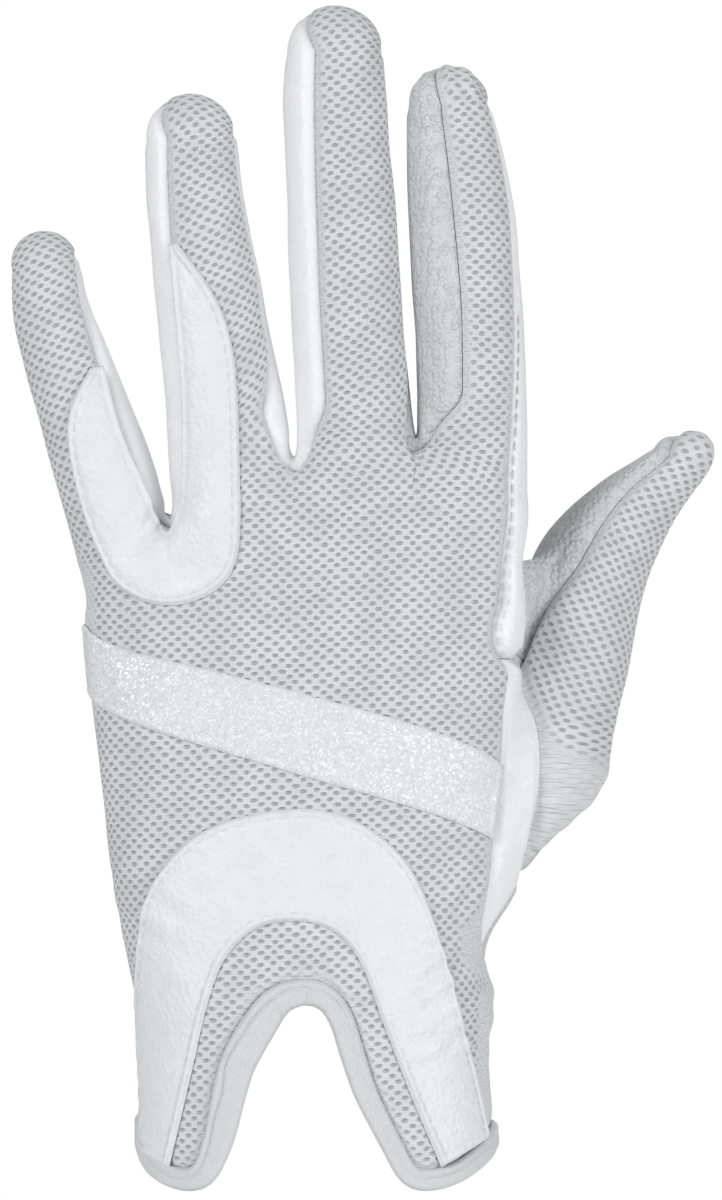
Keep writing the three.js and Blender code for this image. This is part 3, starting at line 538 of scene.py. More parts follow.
@dataclass
class Cloth:
    """Grids of one panel before they are sewn together: places and cloth coordinates in mm."""

    places: list[Points] = field(default_factory=list)
    threads: list[Points] = field(default_factory=list)

    def add(self, grid: Points, threads: Points | None = None) -> "Cloth":
        """Adds a grid of rows, with cloth coordinates or else its own distances, and hands itself back."""
        self.places.append(grid)
        self.threads.append(own_threads(grid) if threads is None else threads)
        return self


def own_threads(grid: Points) -> Points:
    """Cloth coordinates of a grid: distance across from its middle column, and along it."""
    across = from_middle(np.linalg.norm(np.diff(grid, axis=1), axis=-1))
    along = run_of(grid[:, grid.shape[1] // 2])[:, None]
    return np.stack([across, np.broadcast_to(along, across.shape)], -1)


@dataclass
class Shell:
    """One closed wall of cloth or leather, made from sewn grids."""

    points: Points
    faces: Points
    threads: Points
    out: Points
    rim: Points
    edge: Points

    # Distances from the form, in mm, over which a point's direction becomes the cloth's own
    LEAVES_FORM = (0.15, 0.8)
    # A distance from the edge that stands for none, in mm
    NO_EDGE = 99.0

    @classmethod
    def sew(cls, cloth: Cloth, form: HandForm) -> "Shell":
        """Sews grids that share their border points into one surface.

        Args:
            cloth: The grids.
            form: The glove's form, for the outward directions.

        Returns:
            The surface, with distances from its edge.
        """
        places = np.concatenate([g.reshape(-1, 3) for g in cloth.places])
        threads = np.concatenate([t.reshape(-1, 2) for t in cloth.threads])
        quads, start = [], 0
        for grid in cloth.places:
            rows, columns = grid.shape[:2]
            index = start + np.arange(rows * columns).reshape(rows, columns)
            around = (index[:-1, :-1], index[:-1, 1:], index[1:, 1:], index[1:, :-1])
            quads.append(np.stack(around, -1).reshape(-1, 4))
            start += rows * columns
        corners = np.concatenate(quads)
        _, first, same = np.unique(np.round(places * 1e3).astype(np.int64), axis=0, return_index=True,
                                   return_inverse=True)
        same = same.reshape(-1)
        points, faces = places[first], same[corners]
        out = form.outwards(points)
        a, b, c, d = (points[faces[:, n]] for n in range(4))
        normal = np.cross(c - a, d - b)
        flip = (normal * out[faces].mean(1)).sum() < 0
        own = np.zeros_like(points)
        for n in range(4):
            np.add.at(own, faces[:, n], -normal if flip else normal)
        spanned = ramp(np.abs(form.field(points)), *cls.LEAVES_FORM)[:, None]
        out = unit(mix(out, unit(own), spanned))
        if flip:
            faces, corners = faces[:, ::-1], corners[:, ::-1]
        ring = np.roll(faces, -1, axis=1)
        starts, ends = faces.reshape(-1), ring.reshape(-1)
        real = starts != ends
        starts, ends = starts[real], ends[real]
        size = len(points)
        keys, back = starts * size + ends, ends * size + starts
        rim = ~np.isin(keys, back)
        edges = np.stack([starts[rim], ends[rim]], -1)
        distance = np.full(size, cls.NO_EDGE)
        if len(edges):
            tree = KDTree(len(edges) * 2)
            for n, (i, j) in enumerate(edges):
                tree.insert(points[i], 2 * n)
                tree.insert((points[i] + points[j]) / 2, 2 * n + 1)
            tree.balance()
            distance = np.array([tree.find(p)[2] for p in points])
        return cls(points, faces, threads[corners], out, edges, distance)

    def draw_in(self, gap: float) -> None:
        """Draws the edges in by half a seam's gap.

        Args:
            gap: Width of the seam in mm.
        """
        a, b, c = (self.points[self.faces[:, n]] for n in range(3))
        middle = self.points[self.faces].mean(1)
        pull = np.zeros_like(self.points)
        owner = {}
        for n, face in enumerate(self.faces):
            for k in range(4):
                owner[(int(face[k]), int(face[(k + 1) % 4]))] = n
        for i, j in self.rim:
            n = owner.get((int(i), int(j)))
            if n is None:
                continue
            line = unit(self.points[j] - self.points[i])
            inward = middle[n] - self.points[i]
            inward = unit(inward - line * (inward @ line))
            pull[i] += inward
            pull[j] += inward
        size = np.linalg.norm(pull, axis=-1)
        moved = size > 0.3
        self.points[moved] += pull[moved] / size[moved][:, None] * gap / 2

    def lift(self, height: Points | float) -> None:
        """Moves every point outwards by a height in mm."""
        self.points = self.points + self.out * np.broadcast_to(height, len(self.points))[:, None]

    def build(self, cut: Cut, wall: Points | float) -> Object:
        """Makes the closed wall as an object.

        Args:
            cut: What it is cut from.
            wall: Thickness in mm.

        Returns:
            The object, in metres.
        """
        inner = self.points - self.out * np.broadcast_to(wall, len(self.points))[:, None]
        count = len(self.points)
        i, j = self.rim[:, 0], self.rim[:, 1]
        rim = np.stack([j, i, i + count, j + count], -1)
        faces = np.concatenate([self.faces, self.faces[:, ::-1] + count, rim])
        lookup = np.zeros((count, 2))
        lookup[self.faces.reshape(-1)] = self.threads.reshape(-1, 2)
        threads = np.concatenate([self.threads, self.threads[:, ::-1], lookup[rim % count]])
        piece = make_piece(cut, np.concatenate([self.points, inner]), faces, threads)
        edge = piece.data.attributes.new("edge", "FLOAT", "POINT")
        edge.data.foreach_set("value", np.tile(self.edge, 2).astype(np.float32))
        return piece


def link_mesh(name: str, points: Points, faces: list[list[int]], finish: Material) -> Object:
    """Makes a smooth mesh object and links it into the scene.

    Args:
        name: Name of the piece.
        points: Points in mm.
        faces: The corner numbers of each face.
        finish: Its material.

    Returns:
        The object, in metres.
    """
    mesh = bpy.data.meshes.new(name)
    mesh.from_pydata((points * MM).tolist(), [], faces)
    mesh.materials.append(finish)
    mesh.polygons.foreach_set("use_smooth", [True] * len(mesh.polygons))
    mesh.update()
    piece = bpy.data.objects.new(name, mesh)
    bpy.context.scene.collection.objects.link(piece)
    return piece


def make_piece(cut: Cut, points: Points, faces: Points, threads: Points) -> Object:
    """Makes a mesh object from quads, some of which may have joined corners.

    Args:
        cut: What it is cut from.
        points: Points in mm.
        faces: Four corner numbers for each face.
        threads: Cloth coordinates in mm for each corner.

    Returns:
        The object, smooth, with its UV map named threads.
    """
    kept_faces: list[list[int]] = []
    kept_threads: list[Points] = []
    joined = (faces == np.roll(faces, -1, axis=1))
    plain = ~joined.any(1)
    for face, thread, join in zip(faces[~plain].tolist(), threads[~plain], joined[~plain]):
        keep = [n for n in range(4) if not join[n]]
        if len({face[n] for n in keep}) == 3:
            kept_faces.append([face[n] for n in keep])
            kept_threads.append(thread[keep])
    piece = link_mesh(cut.name, points, faces[plain].tolist() + kept_faces, cut.finish)
    flat = np.concatenate([threads[plain].reshape(-1, 2), *kept_threads])
    layer = piece.data.uv_layers.new(name="threads")
    layer.data.foreach_set("uv", flat.reshape(-1).astype(np.float32))
    return piece


@dataclass
class SeamPlan:
    """Where the seams run: the cuff's mouth, the sides of the hand, the fingers and the thumb."""

    form: HandForm
    cuff_rows: int = 45
    gusset_rows: int = 72
    strip_rows: int = 32
    finger_rows: int = 60
    tip_rows: int = 16
    notch_height: float = 40.5
    palm_notch_height: float = 46.0
    cuff_side_height: float = 13.2
    gusset_foot: float = 46.5
    gusset_top: float = 101.0
    foot_crowding: float = 1.4
    web_drop: float = 1.6
    web_reach: float = 6.6
    web_run: float = 0.17
    ulnar_turn: float = -125.0
    radial_turn: float = 115.0
    index_side_turn: float = 104.0
    web_rise: float = 0.855

    BACK_MOUTH = Table(
        "turn side notch", (-125, 1, 0), (-90, 1.04, 0), (-72, 0.78, 0), (-60, 0.5, 0),
        (-50, 0.37, 0), (-43.5, 0.38, 0), (-40, 0.1, 0.135), (-36.5, 0, 0.3), (-33, 0, 0.49),
        (-29, 0, 0.657), (-22, 0, 0.835), (-15, 0, 0.945), (-5, 0, 1), (4, 0, 0.98), (10, 0, 0.88),
        (16.6, 0, 0.657), (19.6, 0, 0.516), (23.4, 0, 0.375), (27.5, 0.05, 0.235), (32, 0.34, 0.03),
        (38, 0.36, 0), (48, 0.44, 0), (60, 0.64, 0), (75, 0.85, 0), (90, 0.94, 0), (115, 0.96, 0))
    PALM_MOUTH = Table(
        "turn side notch", (115, 0.96, 0), (124, 0.68, 0), (131, 0.58, 0), (137, 0.4, 0.1), (142, 0, 0.33),
        (148, 0, 0.52), (155, 0, 0.73), (163, 0, 0.88), (172, 0, 0.97), (182, 0, 1), (190, 0, 0.97),
        (198, 0, 0.87), (206, 0, 0.7), (212, 0, 0.5), (217, 0, 0.32), (222, 0.3, 0.11), (228, 0.58, 0),
        (235, 1, 0))
    FINGER_SEAMS = (
        Table(EDGES, (0, -125, 36, -125, 125), (0.35, -125, 38, -125, 125), (0.55, -124, 50, -124, 122),
              (0.9, -108, 78, -108, 104)),
        Table(EDGES, (0, -44, 34, -116, 145), (0.25, -44, 42, -116, 145), (0.4, -43, 76, -116, 142),
              (0.9, -34, 82, -104, 104)),
        Table(EDGES, (0, -34, 80, -116, 145), (0.5, -31, 92, -116, 142), (0.9, -26, 84, -104, 104)),
        Table(EDGES, (0, -16, 40, -112, 112), (0.25, -12, 54, -112, 112), (0.5, -9, 70, -112, 112),
              (0.9, -14, 80, -104, 100)))
    TIP_BENDS = tuple(dict(zip(EDGES.split()[1:], row)) for row in (
        (-86, 80, -86, 86), (-28, 80, -85, 86), (-30, 80, -85, 86), (-16, 76, -85, 86)))
    THUMB_SEAMS = Table("along low high", (-0.1, -56, 112), (0.05, -50, 112), (0.45, -17, 108),
                        (0.7, -24, 104), (0.9, -34, 98))
    THUMB_TIP = (-32.0, 82.0)
    THUMB_SIDE = Table(
        "rise turn", (0, 115), (0.24, 115), (0.295, 104), (0.325, 90), (0.345, 80), (0.376, 73.5),
        (0.467, 69), (0.558, 71), (0.606, 74), (0.657, 75), (0.7055, 76.5), (0.7137, 73.6), (0.7191, 71),
        (0.7287, 66.5), (0.7396, 63.6), (0.7546, 62.3), (0.7763, 62.8), (0.798, 65.9), (0.8376, 67.4),
        (0.885, 67.3), (0.9194, 67.3), (0.967, 68.9), (1, 69))
    GUSSET_EDGE = Table(
        "rise across", (0.422, 0.918), (0.456, 0.95), (0.49, 0.981), (0.531, 1.008), (0.572, 1.018),
        (0.613, 1.012), (0.64, 0.995), (0.667, 0.958), (0.694, 0.93), (0.722, 0.918))
    BALL_SEAM = Table("place rise across", (0, 0.422, 0.918), (0.12, 0.445, 0.78), (0.28, 0.51, 0.63),
                      (0.45, 0.6, 0.555), (0.62, 0.7, 0.56), (0.8, 0.795, 0.66), (0.9, 0.83, 0.77))

    def __post_init__(self) -> None:
        """Works out the lines that several panels share."""
        body = self.form.body
        self.little_foot = body.palm_length * 0.86
        self.index_foot = body.palm_length * 0.985
        fingers = self.form.fingers
        gaps = range(3)
        self.webs = {edge: [self.web_point(fingers[n], fingers[n + 1], side) for n in gaps]
                     for edge, side in (("back", -1.0), ("palm", 1.0))}
        self.crotches = [self.web_point(fingers[n], fingers[n + 1], 0.0) for n in gaps]
        self.back_columns = [52, 40, 46, 46]
        self.palm_columns = [36, 30, 30, 36]
        little, thumb = self.ulnar_turn, self.radial_turn
        self.back_hem = self.mouth(self.BACK_MOUTH, self.notch_height, little, thumb, sum(self.back_columns))
        self.palm_hem = self.mouth(self.PALM_MOUTH, self.palm_notch_height, little + 360, thumb,
                                   sum(self.palm_columns))
        self._sides()

    def web_point(self, low: Limb, high: Limb, side: float) -> Points:
        """The crotch between two fingers, on the outer face.

        Args:
            low: Finger on the little finger's side.
            high: Finger on the thumb's side.
            side: -1 for its end on the back, 1 on the palm and 0 for its top.

        Returns:
            The point.
        """
        z = np.arange(self.form.body.palm_length * 1.12, self.form.body.palm_length * 0.7, -0.1)
        line = (low.point(low.along_at(z), 90) + high.point(high.along_at(z), -90)) / 2
        first = line[np.argmax(self.form.field(line) <= 0)]
        return self.form.settle(first + np.array([0, side * self.web_reach, -self.web_drop * abs(side)]))

    def mouth(self, rows: Table, notch: float, start: float, end: float, columns: int) -> Points:
        """Evenly spaced points of the cuff's mouth.

        Args:
            rows: Outline of the mouth.
            notch: Height of its notch.
            start: First turn.
            end: Last turn.
            columns: Number of steps.

        Returns:
            The points, on the outer face.
        """
        def line(turn: Points) -> Points:
            """Points of the mouth at turns."""
            z = rows.read("side", turn) * self.cuff_side_height + rows.read("notch", turn) * notch
            return self.form.settle(self.form.body.point(turn, z)[0])

        return evenly(line, start, end, columns)

    def _sides(self) -> None:
        """Finds the seams at both sides of the hand, row by row."""
        form, length = self.form, self.form.body.palm_length
        cuff, gusset, strip = self.cuff_rows, self.gusset_rows, self.strip_rows
        heights = np.concatenate([
            np.linspace(self.back_hem[-1][2], self.gusset_foot, cuff + 1)[:-1],
            np.linspace(self.gusset_foot, self.gusset_top, gusset + 1)[:-1],
            np.linspace(self.gusset_top, self.index_foot, strip + 1)])
        self.shares = share_of(heights)
        self.thumb_turns = self.THUMB_SIDE.read("turn", heights / length)
        self.little_side = form.body_face(np.full_like(self.shares, self.ulnar_turn),
                                          mix(self.back_hem[0][2], self.little_foot, self.shares))
        self.little_side[0], self.little_side[-1] = self.back_hem[0], self.foot(LITTLE, "back_low")
        self.thumb_side = form.body_face(self.thumb_turns, heights)
        self.thumb_side[0], self.thumb_side[-1] = self.back_hem[-1], self.foot(INDEX, "back_high")
        blend_end(self.little_side, form, 0.9)
        blend_end(self.thumb_side, form, 0.86)
        edge = self.GUSSET_EDGE
        rows = gusset * 8 // 9
        rise = np.linspace(edge.keys[0], edge.keys[-1], rows + 1)
        half = form.body.palm_half_width
        self.thumb_mouth = form.face_at(edge.read("across", rise) * half, rise * length, Face.BACK)
        mouth_foot = self.across(self.thumb_side[cuff], self.thumb_mouth[0], gusset - rows)
        self.gusset_side = np.concatenate([mouth_foot[:-1], self.thumb_mouth])
        side_turn = np.array([self.index_side_turn])
        self.thumb_web = form.body_face(side_turn, np.array([self.web_rise * length]))[0]
        ball = self.BALL_SEAM
        on_palm = float(ball.keys[-1])

        def ball_line(share: Points) -> Points:
            """Points of the palm's seam round the ball of the thumb."""
            x, z = ball.read("across", share) * half, ball.read("rise", share) * length
            to_web = np.maximum(share - on_palm, 0) / (1 - on_palm)
            return form.settle(mix(form.face_at(x, z, Face.PALM), self.thumb_web, to_web[:, None]))

        self.ball = evenly(ball_line, 0.0, 1.0, gusset)
        self.ball[0] = self.thumb_mouth[0]
        steps = strip * 3 // 4
        rising = np.linspace(self.thumb_web[2], self.index_foot, steps + 1)
        side = form.settle(form.body.point(np.full(steps + 1, self.index_side_turn), rising)[0])
        fade = shares(steps)[:, None]
        first, last = self.thumb_web - side[0], self.foot(INDEX, "palm_high") - side[-1]
        side = form.settle(side + first * (1 - ramp(fade, 0, 0.6)) + last * ramp(fade, 0.4, 1))
        self.strip_side = np.concatenate([
            self.across(self.thumb_mouth[-1], self.thumb_web, strip - steps)[:-1], side])
        way = np.concatenate([self.thumb_side[cuff:cuff + 1], mouth_foot[1:-1], self.ball, side[1:]])
        lined = read_line(way, np.linspace(0, run_of(way)[-1], gusset + strip + 1))
        for mark in (self.thumb_mouth[0], self.thumb_web):
            lined[np.argmin(np.linalg.norm(lined - mark, axis=1))] = mark
        self.palm_side = np.concatenate([self.thumb_side[:cuff], form.settle(lined)])
        self.palm_side[-1] = self.foot(INDEX, "palm_high")
        self.palm_turns = np.concatenate([self.thumb_turns[:cuff + 1],
                                          form.body.turn_of(self.palm_side[cuff + 1:]) % 360])
        self.palm_shares = share_of(self.palm_side[:, 2])

    def across(self, start: Points, end: Points, steps: int) -> Points:
        """Points between two others, settled on the form, with both ends kept."""
        line = self.form.settle(mix(start, end, shares(steps)[:, None]))
        line[0], line[-1] = start, end
        return line

    def foot_along(self, n: int, edge: str) -> float:
        """Share of a finger's length where one of its seams starts."""
        low = edge.endswith("low")
        finger = self.form.fingers[n]
        if low and n == LITTLE:
            return float(finger.along_at(self.little_foot))
        if not low and n == INDEX:
            return float(finger.along_at(self.index_foot))
        return float(finger.along_at(self.webs["back"][n - 1 if low else n][2]))

    def foot(self, n: int, edge: str) -> Points:
        """Point where one of a finger's seams starts."""
        low = edge.endswith("low")
        if (low and n == LITTLE) or (not low and n == INDEX):
            along = self.foot_along(n, edge)
            turn = self.FINGER_SEAMS[n].read(edge, along)
            return self.form.settle(self.form.fingers[n].point(along, turn))
        return self.webs[edge[:4]][n - 1 if low else n]

    def _raw_finger(self, n: int, start: str, end: str, columns: int) -> Points:
        """Rows of a finger between two of its seams, not yet led to its foot."""
        finger, seams, bends = self.form.fingers[n], self.FINGER_SEAMS[n], self.TIP_BENDS[n]
        rows = shares(self.finger_rows) ** self.foot_crowding
        over_palm = start.startswith("palm") and end.startswith("palm")
        along, turn = [], []
        for edge in (start, end):
            way = mix(self.foot_along(n, edge), finger.last, rows)
            along.append(way)
            turn.append(seams.read(edge, way) + (360 if over_palm and edge == "palm_low" else 0))
        j = shares(columns)[None, :]
        along, turn = (mix(first[:, None], second[:, None], j) for first, second in (along, turn))
        grid = finger.point(along, turn)
        tips = shares(self.tip_rows)[1:, None]
        tip = finger.tip(turn[-1:], mix(bends[start], bends[end], j), tips)
        return self.form.settle(np.concatenate([grid, tip]))

    def finger(self, n: int, start: str, end: str, columns: int, foot_line: Points | None = None) -> Points:
        """Rows of one finger between two of its seams, from its foot to over its tip.

        Args:
            n: Which finger.
            start: Seam at the first column.
            end: Seam at the last column.
            columns: Number of steps across.
            foot_line: The whole first row, where it isn't the finger's own.

        Returns:
            The grid of points.
        """
        grid = self._raw_finger(n, start, end, columns)
        share = np.zeros(len(grid))
        share[:self.finger_rows + 1] = shares(self.finger_rows) ** self.foot_crowding
        share[self.finger_rows + 1:] = 1.0
        fade = (1 - ramp(share, 0, self.web_run))[:, None, None]
        if foot_line is not None:
            shift = foot_line - grid[0]
        else:
            j = shares(columns)[:, None]
            low, high = self.foot(n, start) - grid[0, 0], self.foot(n, end) - grid[0, -1]
            shift = low * (1 - ramp(j, 0, 0.3)) + high * ramp(j, 0.7, 1)
        moved = self.form.settle(grid + shift[None] * fade)
        moved[0] = grid[0] + shift
        moved[0, 1:-1] = self.form.settle(moved[0, 1:-1])
        return moved

    def web_line(self, n: int, columns: int) -> Points:
        """Line through a crotch from the back to the palm."""
        back, top, palm = self.webs["back"][n], self.crotches[n], self.webs["palm"][n]
        t = np.linspace(-1, 1, columns + 1)[:, None]
        line = self.form.settle(back * t * (t - 1) / 2 + top * (1 - t * t) + palm * t * (t + 1) / 2)
        line[0], line[-1] = back, palm
        return line


def share_of(heights: Points) -> Points:
    """Heights as shares of the way from the first to the last."""
    return (heights - heights[0]) / (heights[-1] - heights[0])


def evened(values: Points, width: float) -> Points:
    """Values smoothed over their neighbours, with a bell-shaped weight so many values wide."""
    reach = int(width * 3)
    weight = np.exp(-(np.arange(-reach, reach + 1) / width) ** 2)
    return np.convolve(np.pad(values, reach, mode="edge"), weight / weight.sum(), mode="valid")


def evenly(line: Callable[[Points], Points], start: float, end: float, steps: int) -> Points:
    """Points at even distances along a line that is a function of a value."""
    fine = np.linspace(start, end, 900)
    run = run_of(line(fine))
    return line(np.interp(np.linspace(0, run[-1], steps + 1), run, fine))


def blend_end(line: Points, form: HandForm, start: float) -> None:
    """Leads a side seam smoothly to its last point, in place."""
    share = shares(len(line) - 1)
    before = line[-2] + (line[-2] - line[-3])
    line[1:-1] = form.settle(line[1:-1] + (line[-1] - before) * ramp(share, start, 1)[1:-1, None])


@dataclass
class BodyPanel:
    """The part of the back or the palm panel that covers the hand's body, with the strips up the fingers."""

    plan: SeamPlan
    face: Face
    # Share of the height where the columns start to fan out, and their least width as a share of the mean
    fan_start: float = 0.1
    least_step: float = 0.75
    # Rows over which the thumb's side is evened out, and how closely the outer columns still follow it
    evening: float = 26.0
    rise_hug: int = 6
    turn_hug: int = 4
    # Shares of the grid over which it is led to its hem, its feet and its two sides
    hem_lead: float = 0.2
    foot_lead: float = 0.72
    side_leads: Pair = (0.12, 0.8)
    # Distance up a finger over which its threads leave the body's, in mm
    thread_lead: float = 26.0

    def grids(self) -> Cloth:
        """Lays the panel out.

        Returns:
            Its grids, with threads that run on from the body into each finger.
        """
        plan, form = self.plan, self.plan.form
        back = self.face is Face.BACK
        columns = plan.back_columns if back else plan.palm_columns
        start, end = ("back_low", "back_high") if back else ("palm_low", "palm_high")
        strips = [plan.finger(n, start, end, columns[n]) for n in range(4)]
        feet = np.concatenate([strip[0, :-1] for strip in strips] + [strips[-1][0, -1:]])
        hem = plan.back_hem if back else plan.palm_hem
        low, high = plan.little_side, plan.thumb_side if back else plan.palm_side
        low_turn = plan.ulnar_turn + (0 if back else 360)
        high_turns = plan.thumb_turns if back else plan.palm_turns
        high_shares = plan.shares if back else plan.palm_shares
        turn_of = form.body.turn_of if back else (lambda p: form.body.turn_of(p) % 360)
        across = shares(len(hem) - 1)
        at_hem, at_feet = self._spread(turn_of(hem)), self._spread(turn_of(feet))
        even_shares = share_of(evened(high_shares, self.evening))
        share = (mix(plan.shares[:, None], even_shares[:, None], across[None])
                 + (high_shares - even_shares)[:, None] * across[None] ** self.rise_hug)
        place = mix(at_hem, at_feet, ramp(share, self.fan_start, 1))
        z = mix(hem[:, 2], feet[:, 2], share)
        steady = evened(high_turns, self.evening)
        hugging = (high_turns - steady)[:, None] * place ** self.turn_hug
        turns = mix(low_turn, steady[:, None], place) + hugging
        grid = self._lead(form.body_face(turns, z), hem, feet, low, high, share, across)
        threads = self._body_threads(grid)
        cloth = Cloth().add(grid, threads)
        first = 0
        for strip, count in zip(strips, columns):
            own = own_threads(strip)
            at_foot = threads[-1, first:first + count + 1]
            middle = count // 2
            own += at_foot[middle] - own[0, middle]
            fade = 1 - ramp(own[:, middle, 1] - own[0, middle, 1], 0, self.thread_lead)
            own += (at_foot - own[0])[None] * fade[:, None, None]
            strip[0] = grid[-1, first:first + count + 1]
            cloth.add(strip, own)
            first += count
        return cloth

    def _spread(self, turns: Points) -> Points:
        """Places of columns as shares, kept in their order."""
        whole = turns[-1] - turns[0]
        steps = np.maximum(np.diff(turns) / whole, self.least_step / (len(turns) - 1))
        return np.concatenate([[0.0], np.cumsum(steps)]) / steps.sum()

    def _lead(self, grid: Points, hem: Points, feet: Points, low: Points, high: Points, share: Points,
              across: Points) -> Points:
        """Leads a grid to its four borders without a step."""
        form = self.plan.form
        to_feet = (feet - grid[-1])[None] * ramp(share, self.foot_lead, 1)[..., None]
        to_hem = (hem - grid[0])[None] * (1 - ramp(share, 0, self.hem_lead))[..., None]
        grid = grid + to_feet + to_hem
        low_lead, high_lead = self.side_leads
        to_low = (low - grid[:, 0])[:, None] * (1 - ramp(across, 0, low_lead))[None, :, None]
        to_high = (high - grid[:, -1])[:, None] * ramp(across, high_lead, 1)[None, :, None]
        grid = form.settle(grid + to_low + to_high)
        grid[0], grid[-1], grid[:, 0], grid[:, -1] = hem, feet, low, high
        return grid

    @staticmethod
    def _body_threads(grid: Points) -> Points:
        """Cloth coordinates on the body: distance round it from its middle column, and height."""
        middle = grid.shape[1] // 2
        steps = np.hypot(np.diff(grid[..., 0], axis=1), np.diff(grid[..., 1], axis=1))
        return np.stack([from_middle(steps) + grid[:, middle:middle + 1, 0], grid[..., 2]], -1)


@dataclass
class Relief:
    """Folds and unevenness that the mesh and everything sewn onto it share."""

    folds: tuple[Fold, ...] = tuple(Fold(*row) for row in (
        (24.5, 40, 28, 9, 9, 5.2, 0.55), (28.5, 34, 36, 7, 8, 4.4, 0.45),
        (-4, 41.5, 78, 4.5, 6.5, 3.6, 0.4), (-12, 37, 62, 5, 5, 3.4, 0.35), (6, 36, 112, 5, 5, 3.4, 0.35),
        (-6.5, 140.5, 88, 7, 5, 3.1, 0.35), (20.5, 142, 92, 6, 4.5, 3, 0.3), (-31, 127, 70, 6, 5, 3, 0.3),
        (46, 78, 6, 9, 12, 4.6, 0.26), (42, 66, 8, 8, 8, 4, 0.24), (38, 109, 90, 11, 5, 500, 1.7),
        (30, 55, 60, 8, 6, 4.6, 0.3), (-30, 52, 150, 10, 7, 6.5, 0.25), (26, 209, 110, 6, 7, 3.6, 0.35),
        (-49, 176, 40, 6, 6, 4.6, 0.2), (51.5, 71, 52, 15, 9, 500, 1.9), (75, 143, 40, 4.5, 4.5, 500, 2.4),
        (-43.5, 108, 95, 18, 7, 500, -1.1), (-35, 22, 90, 17, 6, 500, -1.1), (33, 41, 95, 9, 5, 500, -1.2),
        (5, 60, 10, 16, 20, 8, 0.4, Face.PALM), (16, 95, 50, 20, 14, 9, 0.5, Face.PALM),
        (-10, 118, 4, 24, 8, 6, 0.4, Face.PALM), (20, 118, -6, 16, 7, 5.5, 0.4, Face.PALM)))
    unevenness: float = 0.10

    def height(self, p: Points, out: Points) -> Points:
        """Millimetres that the cloth stands out at points."""
        total = bumps(p, 6.0, 3) * self.unevenness + bumps(p, 17.0, 5) * self.unevenness * 1.6
        for fold in self.folds:
            total = total + fold.lift(p, out)
        return total


